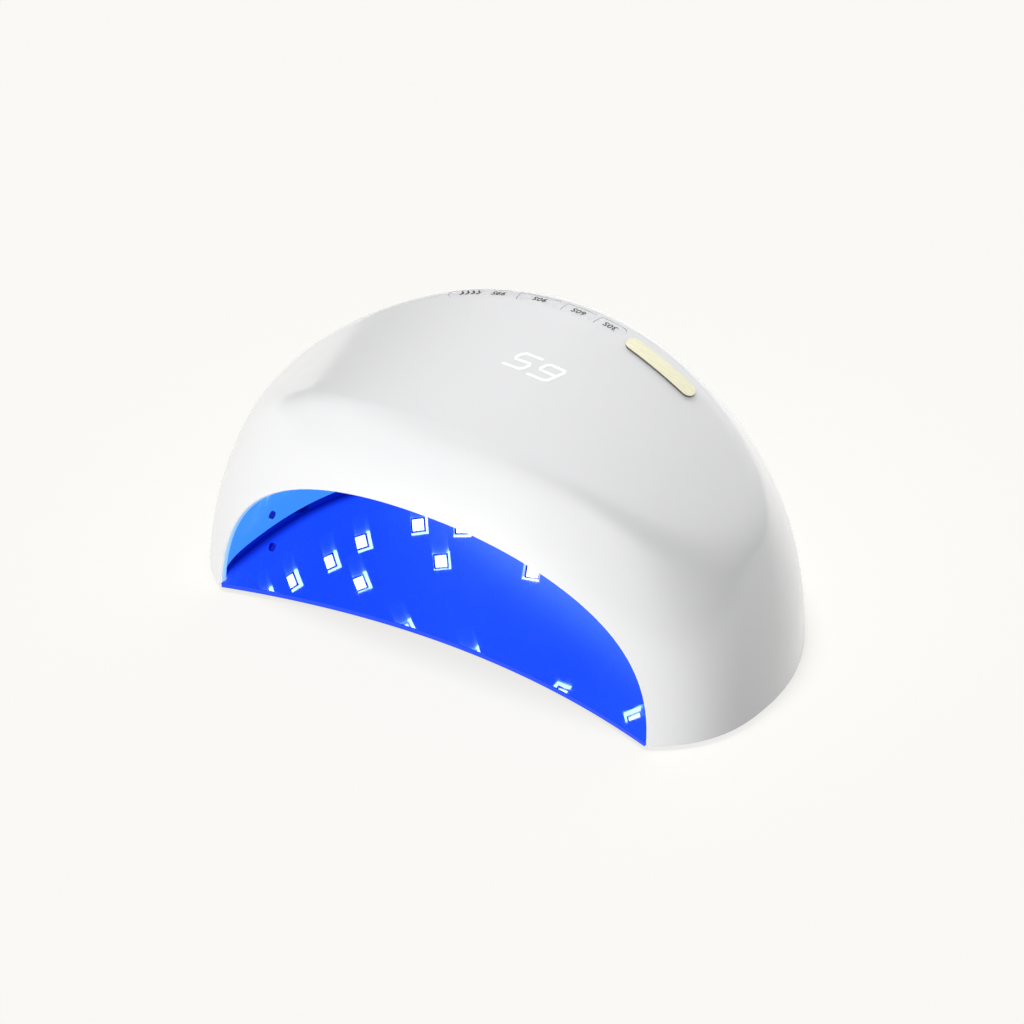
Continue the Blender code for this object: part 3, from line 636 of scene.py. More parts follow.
def pocket_material():
    n = Nodes("led_pocket_glow")
    # Painted LED light: the pocket walls and ramps glow from the reflector's blue through cyan to white by
    # the glow attribute, though they are no lamp.
    glow = n.add("Attribute", attribute_name="glow").outputs["Fac"]
    cyan = n.blend(n.ramp(glow, 0.0, 0.6, 0.0, 1.0), painted_blue_glow(n), (0.34, 0.75, 1.0))
    colour = n.blend(n.ramp(glow, 0.5, 1.0, 0.0, 1.0), cyan, (0.75, 0.95, 1.0))
    n.set(Base_Color=n.blend(n.noise(300, 2), (0.01, 0.05, 0.3), (0.02, 0.07, 0.4)))
    n.set(Emission_Color=colour, Emission_Strength=n.ramp(glow, 0.35, 1.0, 1.0, 6.0))
    n.uneven_gloss(150, 2, 0.22, 0.32)
    return n.material


def lit_material(name, colour, strength, base=(0.8, 0.8, 0.8)):
    n = Nodes(name)
    n.set(Base_Color=n.blend(n.noise(600, 2), tuple(0.92 * c for c in base), base))
    n.uneven_gloss(500, 2, 0.30, 0.42)
    n.set(Emission_Color=colour, Emission_Strength=strength)
    return n.material


def mirror_material():
    """The polished tray: a mirror tinted blue as painted LED light, with painted shade darker along the foot
    of the reflector and a painted lighter, pinker reflection toward the right and back.
    """
    n = Nodes("mirror_tray_polished")
    axes = n.axes()
    # Painted shade: how far out the point lies in the reflector's foot outline; the tray darkens toward the
    # foot.
    power = LINER_FOOT["n_back"]
    aside = n.math("DIVIDE", n.math("ABSOLUTE", axes["X"]), LINER_FOOT["half"])
    across = n.math("POWER", aside, power)
    middle = LINER_FOOT["middle"] - BACKSET
    back = n.math("DIVIDE", n.math("SUBTRACT", axes["Y"], middle), LINER_FOOT["back"])
    along = n.math("POWER", n.math("MAXIMUM", back, 0.0), power)
    reach = n.math("POWER", n.math("ADD", across, along), 1 / power)
    shade = n.ramp(reach, 0.93, 0.99, 0.0, 1.0)
    streaks = n.noise(240, 3)
    # Painted blue LED light: the mirror's tint, with a slight streaky variation
    tint = n.blend(streaks, (0.175, 0.235, 1.0), (0.185, 0.245, 1.0))
    # Painted reflection: lighter and pinker toward the right and the back.
    right = n.math("ADD", n.math("MULTIPLY", axes["X"], 0.4), axes["Y"])
    lighter = n.math("POWER", n.ramp(right, -0.032, 0.006, 0.0, 1.0), 2.0)
    tint = n.blend(lighter, tint, (0.55, 0.46, 1.0))
    n.set(Base_Color=n.blend(shade, tint, (0.01, 0.02, 0.30)), Metallic=1.0)
    # The blue specular tint is painted LED light too.
    n.set(Roughness=n.ramp(streaks, 0.3, 0.7, 0.02, 0.05), Specular_Tint=(0.5, 0.6, 1.0))
    return n.material


def tray_edge_material():
    """The tray's dark edge, with painted blue LED light on it where it stands open at the mouth."""
    n = Nodes("tray_edge")
    n.set(Base_Color=n.blend(n.noise(300, 2), (0.004, 0.005, 0.02), (0.006, 0.008, 0.03)))
    n.set(Specular_IOR_Level=0.2)
    n.uneven_gloss(150, 2, 0.30, 0.40)
    # Painted blue LED light, strongest at the front and gone a little further back.
    n.set(Emission_Color=n.blend(n.noise(200, 2), (0.008, 0.070, 0.92), (0.011, 0.085, 1.0)))
    n.set(Emission_Strength=n.ramp(n.axes()["Y"], -0.050, -0.042, 1.0, 0.0))
    return n.material


def champagne_material():
    n = Nodes("champagne_plate")
    brushed = n.add("Mapping")
    brushed.inputs["Scale"].default_value = (40, 600, 40)
    n.link(n.position(), brushed.inputs["Vector"])
    grain = n.noise(4, 3, 0.6, brushed.outputs[0])
    n.set(Base_Color=n.blend(grain, (0.955, 0.92, 0.665), (0.98, 0.95, 0.72)), Metallic=0.05)
    n.set(Roughness=n.ramp(grain, 0.3, 0.7, 0.20, 0.32), Coat_Weight=0.6, Coat_Roughness=0.08)
    n.bump(grain, 0.03, 0.0001)
    return n.material


def circuit_material():
    n = Nodes("solder_mask")
    cells = n.add("TexVoronoi", feature="F1", distance="MANHATTAN")
    cells.inputs["Scale"].default_value = 260
    n.link(n.position(), cells.inputs["Vector"])
    tracks = n.ramp(cells.outputs["Distance"], 0.30, 0.36, 0.0, 1.0)
    n.set(Base_Color=n.blend(tracks, (0.02, 0.17, 0.07), (0.04, 0.30, 0.13)))
    n.uneven_gloss(200, 2, 0.30, 0.45)
    n.bump(tracks, 0.2, 0.0001)
    return n.material


def brushed_steel(name, colour=(0.56, 0.56, 0.58)):
    n = Nodes(name)
    turned = n.add("TexWave", wave_type="RINGS", rings_direction="Z")
    turned.inputs["Scale"].default_value = 900
    turned.inputs["Distortion"].default_value = 2.0
    n.link(n.position(), turned.inputs["Vector"])
    n.set(Base_Color=n.blend(n.noise(400, 3), tuple(0.8 * c for c in colour), colour), Metallic=1.0)
    n.uneven_gloss(300, 3, 0.24, 0.40)
    n.bump(turned.outputs["Fac"], 0.08, 0.0001)
    return n.material


WHITE = shell_material()
SLOT_WALL = moulded("shell_inside", (0.74, 0.75, 0.77), 0.05, 0.45, 0.06, 900, 0.08)
REFLECTOR_PAINTED_GLOW = reflector_material()
POCKET = pocket_material()
# Painted shade: the near-black walls of the gap round each LED
SHAFT_PAINTED_SHADE = moulded("led_shaft_painted_shade", (0.001, 0.002, 0.03), 0.30, 0.5, 0.08, 900, 0.08)
LED_LIT = lit_material("led_phosphor_lit", (0.90, 0.95, 1.0), 8.0)
LED_BOARD = moulded("led_board_blue", (0.02, 0.05, 0.35), 0.20, 0.4, 0.08, 900, 0.1)
TRAY_MIRROR = mirror_material()
TRAY_EDGE_PAINTED_GLOW = tray_edge_material()
KEY = moulded("key_satin_white", (0.76, 0.76, 0.77), 0.02, 0.28, 0.04, 700, 0.05, coat=0.2)
LABEL = moulded("label_ink", (0.055, 0.055, 0.060), 0.25, 0.50, 0.08, 1500, 0.10)
PLATE = champagne_material()
PLATE_SIDE = moulded("plate_side", (0.22, 0.20, 0.19), 0.15, 0.35, 0.06, 900, 0.08, metallic=0.4)
BLACK = moulded("moulded_black", (0.022, 0.022, 0.024), 0.25, 0.42, 0.08, 1200, 0.12)
RUBBER = moulded("rubber_feet", (0.030, 0.030, 0.031), 0.30, 0.78, 0.08, 1400, 0.25)
STEEL = brushed_steel("turned_steel")
BRASS = brushed_steel("contact_metal", (0.78, 0.72, 0.58))
CIRCUIT = circuit_material()
WIRE = moulded("wire_insulation", (0.42, 0.02, 0.02), 0.15, 0.45, 0.06, 900, 0.10)
# Painted blue light: the IR emitter and receiver glow blue, though they give off no visible light
SENSOR_PAINTED_GLOW = lit_material("sensor_epoxy", (0.001, 0.003, 0.32), 1.0, (0.01, 0.012, 0.05))
DIGIT = lit_material("display_light", (1.0, 1.0, 1.0), 0.50, (0.6, 0.6, 0.6))
HALO = lit_material("display_halo", (1.0, 1.0, 1.0), 0.075, (0.7, 0.7, 0.71))
# Painted blue LED light on the shell's lip and inside, which glow though they are no lamp
PAINTED_LIT_EDGE = lit_material("shell_inside_painted_light", (0.10, 0.36, 1.0), 0.95, (0.35, 0.40, 0.5))


def dress(obj, *materials):
    if obj.data.materials:
        obj.data.materials.clear()
    for made in materials:
        obj.data.materials.append(made)
    return obj


def finish_piece(obj, body, slot, *nodes):
    """Rides a body and stands for CAD nodes; its slot is not used."""
    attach(obj, body)
    if nodes:
        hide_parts(*nodes)
    return obj


# ---- Outer shell ----


def key_band(label, grow, steps=24):
    """Matching (x, y) points along a key's outer and inner edges; the ends of the row are rounded."""
    left, right = next((a, b) for name, a, b in KEYS if name == label)
    round_left, round_right = label == KEYS[0][0], label == KEYS[-1][0]
    outer, inner = [], []
    half = KEY_HALF_BAND + grow
    for i in range(steps + 1):
        share = 0.5 - 0.5 * math.cos(math.pi * i / steps)
        x = left - grow + (right - left + 2 * grow) * share
        ends = []
        for rounded, distance in ((round_left, x - left + grow), (round_right, right + grow - x)):
            reach = half if rounded else min(half, KEY_CORNER)
            gone = max(0.0, 1 - distance / reach)
            ends.append(half - reach + reach * math.sqrt(max(0.0, 1 - gone * gone)))
        reach = max(half * 0.06, min(ends))
        lean = KEY_LEAN * x / 2 * min(1.0, reach / half)
        outer.append((x + lean, row_y(x, KEY_INSET - reach)))
        inner.append((x - lean, row_y(x, KEY_INSET + reach)))
    return outer, inner


def outward_normals(obj, reference):
    """Gives the faces of the outer skin the smooth normals of the whole, uncut skin."""
    mesh = obj.data
    chosen = [(0.0, 0.0, 0.0)] * len(mesh.loops)
    cache = {}
    for polygon in mesh.polygons:
        if polygon.material_index != 0:
            continue
        normal, distance = reference.normal(polygon.center)
        if distance > 0.00012 or normal.dot(polygon.normal) < 0.8:
            continue
        for loop in polygon.loop_indices:
            vertex = mesh.loops[loop].vertex_index
            if vertex not in cache:
                cache[vertex] = tuple(reference.normal(mesh.vertices[vertex].co)[0])
            chosen[loop] = cache[vertex]
    mesh.normals_split_custom_set(chosen)


LIP_RADIUS = 0.0006
LIP_STEPS = 4


def make_shell(reference):
    columns = [column(*c, 26, 10, 16) for c in mouth_columns()]
    bm = bmesh.new()
    grid = []
    count = len(columns)
    for i, points in enumerate(columns):
        here = points[0]
        normal = reference.normal(here)[0]
        sides = []
        for near, far in ((columns[i - 1][0], here), (here, columns[(i + 1) % count][0])):
            sides.append(normal.cross(far - near).normalized())
        up = (sides[0] + sides[1]) / (1 + sides[0].dot(sides[1]))
        if up.dot(points[1] - here) < 0:
            up = -up
        ring = []
        for start, turn in ((LIP_RADIUS, 0), (SHELL_THICKNESS - LIP_RADIUS, math.pi / 2)):
            for angle in spread(turn, turn + math.pi / 2, LIP_STEPS):
                deep = start - LIP_RADIUS * math.cos(angle)
                edge = LIP_RADIUS * (1 - math.sin(angle))
                ring.append(here + up * edge - normal * deep)
        outer = points[1:]
        inner = [p - reference.normal(p)[0] * SHELL_THICKNESS for p in outer]
        grid.append([bm.verts.new(p) for p in outer[::-1] + ring + inner])
    top = place(0, TOP_CENTRE, top_height(0, TOP_CENTRE))
    over = bm.verts.new(top)
    under = bm.verts.new(top - reference.normal(top)[0] * SHELL_THICKNESS)
    # The outer skin and the lip's outer rounding take the white; the lip's flat, its inner rounding and the
    # inside take the second material, painted blue LED light.
    visible = len(columns[0]) + LIP_STEPS
    for left, right in zip(grid, grid[1:] + grid[:1]):
        for k in range(len(left) - 1):
            face = bm.faces.new((left[k], left[k + 1], right[k + 1], right[k]))
            face.material_index = 0 if k < visible - 1 else 1
        bm.faces.new((over, left[0], right[0]))
        bm.faces.new((left[-1], under, right[-1])).material_index = 1
    shell = solid_object("shell_body", bm)
    dress(shell, WHITE, PAINTED_LIT_EDGE)
    for label, _, _ in KEYS:
        outer, inner = key_band(label, SLOT_GROWTH)
        outline = [(x, y - BACKSET) for x, y in outer + inner[::-1]]
        cut(shell, dress(prism("slot", outline, *SLOT_HEIGHTS), SLOT_WALL))
    hole = lathe("hole", ((0.0050, 0.0), (0.0050, 0.02)), place(0, 0.128, JACK_RISE), BACKWARD)
    cut(shell, dress(hole, WHITE))
    smooth(shell, 40)
    outward_normals(shell, reference)
    return finish_piece(shell, "housing", "shell", "outer_shell")


# ---- Reflector and LEDs ----

WINDOW_HALF = 0.0032  # of a pocket's opening
PACKAGE_HALF = 0.0021
PACKAGE_DEPTH = 0.0022  # of an LED's lit face, behind the reflector's surface
SHAFT_HALF = 0.00262  # of the dark gap round an LED
RAMP_LENGTH = 0.0100
RAMP_DEPTH = 0.0012
RAMP_HALF = 0.0031
BOARD_HALF = 0.0050


def hexahedron(bm, low, high, matrix, cuts=1):
    """A six-sided solid from four points at one end and four at the other, each side cut into squares."""
    low = [Vector(p) for p in low]
    high = [Vector(p) for p in high]
    quads = [low[::-1], high] + [(low[i], low[(i + 1) % 4], high[(i + 1) % 4], high[i]) for i in range(4)]
    verts = []
    for a, b, c, d in quads:
        grid = []
        for i in range(cuts + 1):
            left, right = a.lerp(d, i / cuts), b.lerp(c, i / cuts)
            grid.append([bm.verts.new(matrix @ left.lerp(right, j / cuts)) for j in range(cuts + 1)])
        verts += [v for row in grid for v in row]
        stitch(bm, grid)
    bmesh.ops.remove_doubles(bm, verts=verts, dist=1e-6)


def square(half, z):
    return [(-half, -half, z), (half, -half, z), (half, half, z), (-half, half, z)]


def cutter(name, solids, cuts, material):
    """One helper mesh from (low, high, matrix) solids."""
    bm = bmesh.new()
    for low, high, matrix in solids:
        hexahedron(bm, low, high, matrix, cuts)
    return dress(solid_object(name, bm), material)


def pocket_cutter(frames):
    """A flared square pocket at each LED."""
    slope = (WINDOW_HALF - SHAFT_HALF) / PACKAGE_DEPTH
    front = -0.0008
    wide, narrow = square(WINDOW_HALF - slope * front, front), square(SHAFT_HALF, PACKAGE_DEPTH)
    return cutter("pockets", [(wide, narrow, matrix) for matrix in frames], 6, POCKET)


def shaft_cutter(frames):
    """The dark square hole that each LED stands in; its near-black walls are painted shade in the gap round
    the LED.
    """
    half = SHAFT_HALF - 0.0001
    solids = [(square(half, PACKAGE_DEPTH - 0.0005), square(half, PACKAGE_DEPTH + 0.0018), m) for m in frames]
    return cutter("shafts", solids, 1, SHAFT_PAINTED_SHADE)


def ramp_cutter():
    """A shallow ramp that runs down the wall from each pocket and follows the wall's curve."""
    bm = bmesh.new()
    steps, lanes = 14, 8
    for side, rise in led_spots()[:-len(LED_MIDDLE_RISES)]:
        hand = math.copysign(1, side)
        here = liner_point(side, rise)
        per_side = (liner_point(side + 0.01, rise) - here).length / 0.01
        per_rise = (here - liner_point(side, rise - 0.01)).length / 0.01
        sheets = ([], [])
        for t in spread(0, 1, steps):
            down = rise - (SHAFT_HALF - 0.0004 + RAMP_LENGTH * t) / per_rise
            floor, roof = [], []
            for k in spread(-1, 1, lanes):
                aside = side + (RAMP_HALF * k * (1 + 0.12 * t) + hand * -LED_SHIFT) / per_side
                matrix = led_frame(aside, max(0.03, down))
                deep = RAMP_DEPTH * (1 - t) * (1 - 0.3 * k * k) - 0.00012 * t - 0.00008 * abs(k)
                floor.append(bm.verts.new(matrix @ Vector((0, 0, deep))))
                roof.append(bm.verts.new(matrix @ Vector((0, 0, -0.0030))))
            sheets[0].append(floor)
            sheets[1].append(roof)
        rims = []
        for rows in sheets:
            stitch(bm, rows)
            right, left = [row[-1] for row in rows[1:]], [row[0] for row in rows[-2:0:-1]]
            rims.append(rows[0] + right + rows[-1][-2::-1] + left)
        for a, b, c, d in zip(rims[0], rims[0][1:] + rims[0][:1], rims[1][1:] + rims[1][:1], rims[1]):
            bm.faces.new((a, b, c, d))
    return dress(solid_object("ramps", bm), POCKET)


def glow_at(point, inverses):
    """How strongly an LED lights this point: most on the pocket's back and top, and less down its ramp."""
    best = 0.0
    for hand, inverse in inverses:
        p = inverse @ point
        if p.length > 0.020:
            continue
        back = p.x * hand
        if p.z > 0.00006 and max(abs(p.x), abs(p.y)) < WINDOW_HALF + 0.0003:
            if back > SHAFT_HALF - 0.0003 or p.y > SHAFT_HALF - 0.0003:
                best = max(best, 1.0 if p.z > 0.0004 else 0.85)
            else:
                best = max(best, 0.45)
        if p.y < -SHAFT_HALF + 0.0006:
            along = max(0.0, (-p.y - SHAFT_HALF) / RAMP_LENGTH)
            edge = back / RAMP_HALF
            across = 0.16 + (0.60 if edge > 0 else 0.30) * min(1.0, abs(edge)) ** 3
            fade = max(0.0, 1 - max(0.0, abs(edge) - 0.95) * 6)
            best = max(best, max(0.0, 1 - along) ** 1.6 * (across + 0.30 * max(0.0, 1 - along * 3)) * fade)
    return min(1.0, best)


def make_reflector(frames):
    sides, rises = 90, 44
    bm = bmesh.new()
    grid = []
    for i in range(sides + 1):
        grid.append([])
        for j in range(rises + 1):
            point = liner_point(-1 + i / sides, j / rises)
            x = 0.0 if i == sides or j == rises else point.x
            grid[i].append(bm.verts.new(place(x, point.y, point.z)))
    stitch(bm, grid)
    liner = mesh_object("reflector_body", bm)
    dress(liner, REFLECTOR_PAINTED_GLOW, POCKET)
    mirror = liner.modifiers.new("other_half", "MIRROR")
    mirror.use_clip = True
    mirror.merge_threshold = 0.0001
    thicken = liner.modifiers.new("thickness", "SOLIDIFY")
    thicken.thickness = LINER_THICKNESS
    thicken.offset = 1
    thicken.use_even_offset = True
    apply_all(liner)
    limit = skin("limit", plain_columns(160), 14, 5, 6)
    graph = bmesh.new()
    graph.from_mesh(limit.data)
    graph.normal_update()
    for v, move in [(v, v.normal * -(SHELL_THICKNESS + LINER_GAP)) for v in graph.verts]:
        v.co += move
    bmesh.ops.holes_fill(graph, edges=[e for e in graph.edges if e.is_boundary], sides=0)
    graph.to_mesh(limit.data)
    graph.free()
    dress(limit, REFLECTOR_PAINTED_GLOW)
    cut(liner, limit, "INTERSECT")
    cut(liner, ramp_cutter())
    cut(liner, pocket_cutter(frames))
    cut(liner, shaft_cutter(frames))
    x, y, z = SENSOR_SPOT
    for side in (-1, 1):
        turn = Matrix.Rotation(side * math.pi / 2, 4, "Y")
        hole = lathe("hole", ((0.0023, -0.004), (0.0023, 0.006)), place(side * x, y, z), turn, 32)
        cut(liner, dress(hole, REFLECTOR_PAINTED_GLOW))
    inverses = [(math.copysign(1, m.translation.x), m.inverted()) for m in frames]
    glow = liner.data.attributes.new("glow", "FLOAT", "POINT")
    glow.data.foreach_set("value", [glow_at(v.co, inverses) for v in liner.data.vertices])
    smooth(liner, 30)
    return finish_piece(liner, "housing", "reflector", "inner_reflector")


def make_leds(frames):
    """Every LED's lit square and the board behind it, as one piece."""
    bm = bmesh.new()
    for matrix in frames:
        hexahedron(bm, square(BOARD_HALF, 0.0031), square(BOARD_HALF, 0.0036), matrix)
        hexahedron(bm, square(PACKAGE_HALF, PACKAGE_DEPTH), square(PACKAGE_HALF, 0.0032), matrix)
    leds = solid_object("led_lights", bm)
    dress(leds, LED_BOARD, LED_LIT)
    for matrix in frames:
        middle = matrix @ Vector((0, 0, PACKAGE_DEPTH))
        face = min(leds.data.polygons, key=lambda polygon: (polygon.center - middle).length)
        face.material_index = 1
    return finish_piece(leds, "housing", "led", *[f"led_{i + 1:02d}" for i in range(24)])


# ---- Tray, keys, nameplate, display, inlet ----


def make_tray():
    corner = MOUTH["half"] - 0.0005
    front = []
    for x in spread(-corner, corner, 80):
        front.append((x, TRAY_MIDDLE - TRAY_HOLLOW * (x / MOUTH["half"]) ** 2 - BACKSET))
    half = FOOTPRINT["half"] - TRAY_INSET
    start = -math.acos((corner / half) ** (FOOTPRINT["n_front"] / 2))
    back = []
    for angle in spread(start, math.pi - start, 200):
        x, y = rounded_plan(angle, FOOTPRINT, TRAY_INSET)
        back.append((x, y - BACKSET))
    tray = prism("mirror_tray_body", front + back, TRAY_BOTTOM, TRAY_TOP)
    dress(tray, TRAY_EDGE_PAINTED_GLOW, TRAY_MIRROR)
    for polygon in tray.data.polygons:
        if polygon.normal.z > 0.9:
            polygon.material_index = 1
    bevel(tray, 0.0003, 2, 50)
    apply_all(tray)
    smooth(tray, 50, weighted=True)
    return finish_piece(tray, "base", "tray_mirror", "mirror_tray")


def raised(name, rows, depth, edge, *materials):
    """A solid under a sheet given as rows of points, with a rounded edge; a second material is its side's."""
    bm = bmesh.new()
    grid = [[bm.verts.new(p) for p in row] for row in rows]
    for left, right in zip(grid, grid[1:]):
        for a, b, c, d in zip(left, right, right[1:], left[1:]):
            bm.faces.new((a, b, c, d))
    face_up(bm)
    obj = mesh_object(name, bm)
    dress(obj, *materials)
    thicken = obj.modifiers.new("depth", "SOLIDIFY")
    thicken.thickness = depth
    thicken.offset = -1
    thicken.material_offset_rim = len(materials) - 1
    bevel(obj, edge, 3, 50)
    apply_all(obj)
    return smooth(obj, 45)


def make_key(label):
    rows = []
    lanes = 8
    for (ax, ay), (bx, by) in zip(*key_band(label, KEY_GROWTH)):
        row = []
        for k in range(lanes + 1):
            row.append(SKIN.over(ax + (bx - ax) * k / lanes, ay + (by - ay) * k / lanes, KEY_LIFT))
        rows.append(row)
    key = raised("key_cap_" + label, rows, KEY_DEPTH, 0.00018, KEY)
    return finish_piece(key, "button_" + label, "key", "key_" + label)


def draped(name, flat_mesh, lift, thickness):
    """Lays a flat mesh, given in the datum's x and y, on the top, and gives it a little thickness."""
    bm = bmesh.new()
    bm.from_mesh(flat_mesh)
    for v in bm.verts:
        v.co = SKIN.over(v.co.x, v.co.y, lift)
    face_up(bm)
    obj = mesh_object(name, bm)
    thicken = obj.modifiers.new("thickness", "SOLIDIFY")
    thicken.thickness = thickness
    thicken.offset = -1
    apply_all(obj)
    return obj


def text_mesh(body, size, stretch=1.0, slant=0.0):
    """A line of text as a flat mesh centred on the origin."""
    curve = bpy.data.curves.new("text", "FONT")
    curve.body = body
    curve.size = size
    curve.shear = slant
    curve.resolution_u = 3
    curve.align_x = "CENTER"
    curve.align_y = "CENTER"
    guide = new_object("text", curve)
    graph = bpy.context.evaluated_depsgraph_get()
    mesh = bpy.data.meshes.new_from_object(guide.evaluated_get(graph))
    bpy.data.objects.remove(guide)
    xs = [v.co.x for v in mesh.vertices]
    ys = [v.co.y for v in mesh.vertices]
    shift = Vector((-(min(xs) + max(xs)) / 2, -(min(ys) + max(ys)) / 2, 0))
    mesh.transform(Matrix.Diagonal((stretch, 1, 1, 1)) @ Matrix.Translation(shift))
    return mesh


def stroke_mesh(lines, width, steps=8):
    """Round-ended strokes along polylines of (x, y) points, as one flat mesh."""
    bm = bmesh.new()
    half = width / 2
    for line in lines:
        for (ax, ay), (bx, by) in zip(line, line[1:]):
            a, b = Vector((ax, ay)), Vector((bx, by))
            along = (b - a).normalized()
            start = math.atan2(along.y, along.x)
            ring = []
            for end, base in ((b, start - math.pi / 2), (a, start + math.pi / 2)):
                for angle in spread(base, base + math.pi, steps):
                    ring.append((end.x + half * math.cos(angle), end.y + half * math.sin(angle)))
            bm.faces.new([bm.verts.new((x, y, 0)) for x, y in ring])
    mesh = bpy.data.meshes.new("strokes")
    bm.to_mesh(mesh)
    bm.free()
    return mesh


def make_label(label, x, y):
    """The key's time, to be read from behind the lamp."""
    mesh = text_mesh(label + "S", 0.0036, 1.05, 0.12)
    slope = (row_y(x + 0.001, KEY_INSET) - row_y(x - 0.001, KEY_INSET)) / 0.002
    turn = Matrix.Rotation(math.pi + math.atan(slope), 4, "Z")
    mesh.transform(Matrix.Translation((x, y, 0)) @ turn)
    text = draped("key_label_" + label, mesh, LABEL_LIFT, LABEL_DEPTH)
    dress(text, LABEL)
    return finish_piece(text, "button_" + label, "key")


def make_low_heat_mark():
    """Four short waves beside the 99, which mark its low heat."""
    lines = []
    for k in range(4):
        x = -0.0425 + 0.0021 * k
        y = row_y(x, KEY_INSET)
        lines.append([(x + 0.0007 * math.sin(t * 5.0), y + (t - 0.5) * 0.0026) for t in spread(0, 1, 8)])
    mark = draped("low_heat_mark", stroke_mesh(lines, 0.00050), LABEL_LIFT, LABEL_DEPTH)
    dress(mark, LABEL)
    return finish_piece(mark, "button_99", "key")


def make_plate():
    """The raised, blank champagne plate."""
    turn = Matrix.Rotation(math.radians(PLATE_TURN), 2)
    centre = Vector(PLATE_CENTRE)
    rows = []
    columns = 56
    for i in range(columns + 1):
        share = 0.5 - 0.5 * math.cos(math.pi * i / columns)
        u = -PLATE_LENGTH / 2 + PLATE_LENGTH * share
        gone = max(0.0, 1 - (PLATE_LENGTH / 2 - abs(u)) / PLATE_HALF_BAND)
        half = max(0.00012, PLATE_HALF_BAND * math.sqrt(max(0.0, 1 - gone * gone)))
        line = [centre + turn @ Vector((u, v)) for v in spread(-half, half, 8)]
        rows.append([SKIN.over(*spot, PLATE_LIFT) for spot in line])
    plate = raised("nameplate_blank", rows, PLATE_DEPTH, 0.00025, PLATE, PLATE_SIDE)
    return finish_piece(plate, "housing", "nameplate", "nameplate")


DIGIT_WIDTH = 0.0072
DIGIT_HEIGHT = 0.0080
DIGIT_SLANT = 0.43
FIVE_SPOT = (-0.0035, 0.0458)
NINE_SPOT = (0.0071, 0.0450)


def digit_lines():
    """The lit strokes of both digits, as polylines that round their corners."""
    h = DIGIT_HEIGHT
    w = DIGIT_WIDTH

    def spot(origin, u, v):
        return (origin[0] + u * w + DIGIT_SLANT * v * h, origin[1] + v * h)

    r = 0.12
    five_line = [
        (1, 1), (r, 1), (0, 1 - r), (0, 0.5 + r), (r, 0.5),
        (1 - r, 0.5), (1, 0.5 - r), (1, r), (1 - r, 0), (0, 0),
    ]
    nine_line = [
        (1, 0.5), (r, 0.5), (0, 0.5 + r), (0, 1 - r), (r, 1),
        (1 - r, 1), (1, 1 - r), (1, r), (1 - r, 0), (0, 0),
    ]
    return [[spot(FIVE_SPOT, u, v) for u, v in five_line], [spot(NINE_SPOT, u, v) for u, v in nine_line]]


def make_display():
    for name, width, lift, material in (
        ("display_halo", 0.0019, 0.00003, HALO),
        ("display_digits", 0.00105, 0.00006, DIGIT),
    ):
        piece = draped(name, stroke_mesh(digit_lines(), width), lift, 0.00002)
        dress(piece, material)
        finish_piece(piece, "housing", "shell")


def make_inlet():
    """The DC inlet: a dark collar in the back wall round a socket with a metal pin."""
    base = place(0, 0.1240, JACK_RISE)
    profile = (
        (0.0045, 0.0), (0.0045, 0.0142), (0.0043, 0.0146), (0.0036, 0.0147), (0.0033, 0.0144),
        (0.0031, 0.0138), (0.0031, 0.0060), (0.0012, 0.0060),
    )
    body = dress(lathe("dc_inlet", profile, base, BACKWARD), BLACK)
    smooth(body, 35)
    finish_piece(body, "housing", "black_plastic", "dc_jack")
    profile = ((0.0010, 0.0055), (0.0010, 0.0128), (0.0008, 0.0134), (0.0004, 0.0137), (0.0001, 0.0138))
    pin = dress(lathe("dc_inlet_pin", profile, base, BACKWARD, 24), BRASS)
    smooth(pin, 35)
    finish_piece(pin, "housing", "steel")


FRAMES = led_frames()
SKIN = Reference()
SHELL = make_shell(SKIN)
REFLECTOR_PIECE = make_reflector(FRAMES)
LEDS = make_leds(FRAMES)
TRAY = make_tray()
for label, _, _ in KEYS:
    make_key(label)
for spot in LABEL_SPOTS:
    make_label(*spot)
make_low_heat_mark()
make_plate()
make_display()
make_inlet()

NODE_MATERIALS = (
    ("main_board", CIRCUIT), ("display_block", BLACK), ("supply_lead", WIRE), ("led_loom", WIRE),
    ("ir_emitter", SENSOR_PAINTED_GLOW), ("ir_receiver", SENSOR_PAINTED_GLOW), ("switch", BLACK), ("foot", RUBBER),
)
for name, node in frame["nodes"].items():
    if not node.hide_render:
        dress(node, next((made for start, made in NODE_MATERIALS if name.startswith(start)), STEEL))

# ---- Floor, light and camera ----

bm = bmesh.new()
bmesh.ops.create_grid(bm, x_segments=2, y_segments=2, size=6.0)
floor = mesh_object("floor", bm)
n = Nodes("floor_paper")
n.set(Base_Color=n.blend(n.noise(3, 2), (0.298, 0.296, 0.288), (0.302, 0.300, 0.292)), Roughness=1.0)
n.set(Specular_IOR_Level=0.0, Emission_Color=(1.0, 0.992, 0.955), Emission_Strength=0.812)
dress(floor, n.material)
floor.visible_diffuse = False

# The reflector and the LEDs light the lamp itself, and leave the paper floor white
lamp_pieces = bpy.data.collections.new("lit_by_studio")
for obj in bpy.context.scene.objects:
    if obj.type == "MESH" and obj != floor:
        lamp_pieces.objects.link(obj)
floor_only = bpy.data.collections.new("paper")
floor_only.objects.link(floor)
for obj in (SHELL, REFLECTOR_PIECE, LEDS, TRAY):
    obj.light_linking.receiver_collection = lamp_pieces

world = bpy.data.worlds.new("studio")
bpy.context.scene.world = world
world.use_nodes = True
world.node_tree.nodes["Background"].inputs["Color"].default_value = (1, 1, 1, 1)
world.node_tree.nodes["Background"].inputs["Strength"].default_value = 0.06


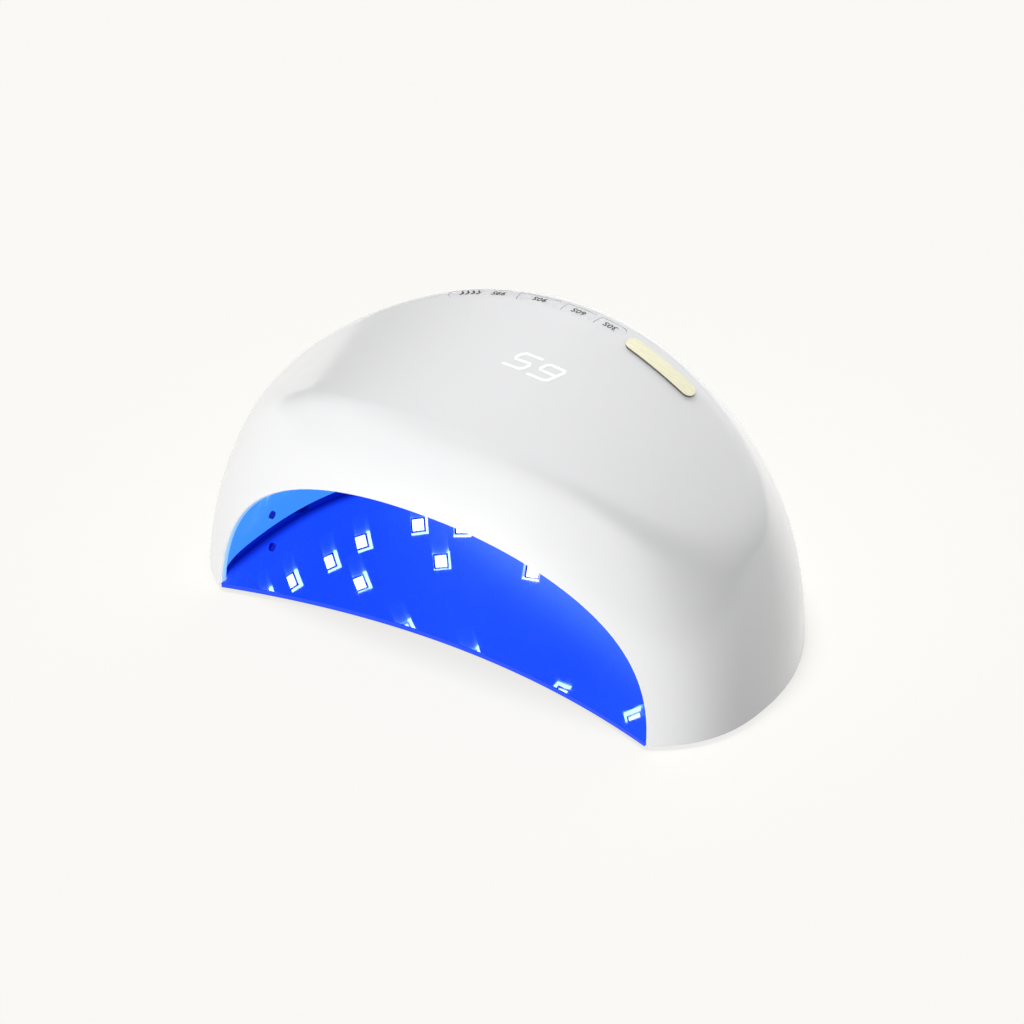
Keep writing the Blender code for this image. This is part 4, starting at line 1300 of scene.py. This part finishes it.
def sun(name, source, strength, size, receivers, blockers=None):
    """A soft light from the direction of its source, on some objects only."""
    light = bpy.data.lights.new(name, "SUN")
    light.energy = strength
    light.angle = math.radians(size)
    lamp = new_object(name, light)
    lamp.rotation_mode = "QUATERNION"
    lamp.rotation_quaternion = Vector(source).to_track_quat("Z", "Y")
    lamp.visible_glossy = False
    lamp.light_linking.receiver_collection = receivers
    if blockers:
        lamp.light_linking.blocker_collection = blockers
    return lamp


for name, source, strength in (
    ("back_bounce", (0.0, 0.97, -0.10), 1.65),
    ("front_bounce", (-0.26, -0.93, -0.26), 2.01),
    ("top_left", (-0.61, 0.35, 0.71), 1.25),
    ("back_left_high", (-0.55, 0.60, 0.58), 0.45),
    ("front_right_high", (0.58, -0.64, 0.50), 1.25),
    ("back_right", (0.20, 0.92, 0.32), 1.12),
    ("top_back", (-0.25, 0.43, 0.87), 0.72),
    ("front_left", (-0.50, -0.87, 0.0), 0.72),
    ("top_front", (0.35, -0.61, 0.71), 0.64),
):
    sun(name, source, strength, 40, lamp_pieces, lamp_pieces)
sun("overhead", (-0.12, -0.16, 0.98), 1.30, 16, floor_only)

# The camera that the fit to the photo gave
AZIMUTH, ELEVATION, ROLL = math.radians(32.737), math.radians(32.373), math.radians(0.998)
FOCAL_PIXELS = 7597.35
PHOTO_PIXELS = 1024
FILM_WIDTH = 36
DISTANCE, SHIFT_RIGHT, SHIFT_UP = 2.6325, 0.025655, 0.05214
level = Vector((math.sin(AZIMUTH), -math.cos(AZIMUTH), 0))
back = level * math.cos(ELEVATION) + Vector((0, 0, math.sin(ELEVATION)))
right = Vector((math.cos(AZIMUTH), math.sin(AZIMUTH), 0))
up = back.cross(right)
camera = bpy.data.cameras.new("camera")
camera.sensor_width = FILM_WIDTH
camera.lens = FOCAL_PIXELS / PHOTO_PIXELS * FILM_WIDTH
camera.clip_start = 0.1
camera.clip_end = 50
eye = new_object("camera", camera)
turned_right = right * math.cos(ROLL) + up * math.sin(ROLL)
turned_up = up * math.cos(ROLL) - right * math.sin(ROLL)
where = back * DISTANCE + right * SHIFT_RIGHT + up * SHIFT_UP
turn = Matrix((turned_right, turned_up, back)).transposed().to_4x4()
eye.matrix_world = Matrix.Translation(place(*where)) @ turn
bpy.context.scene.camera = eye
bpy.context.scene.view_settings.view_transform = "Standard"
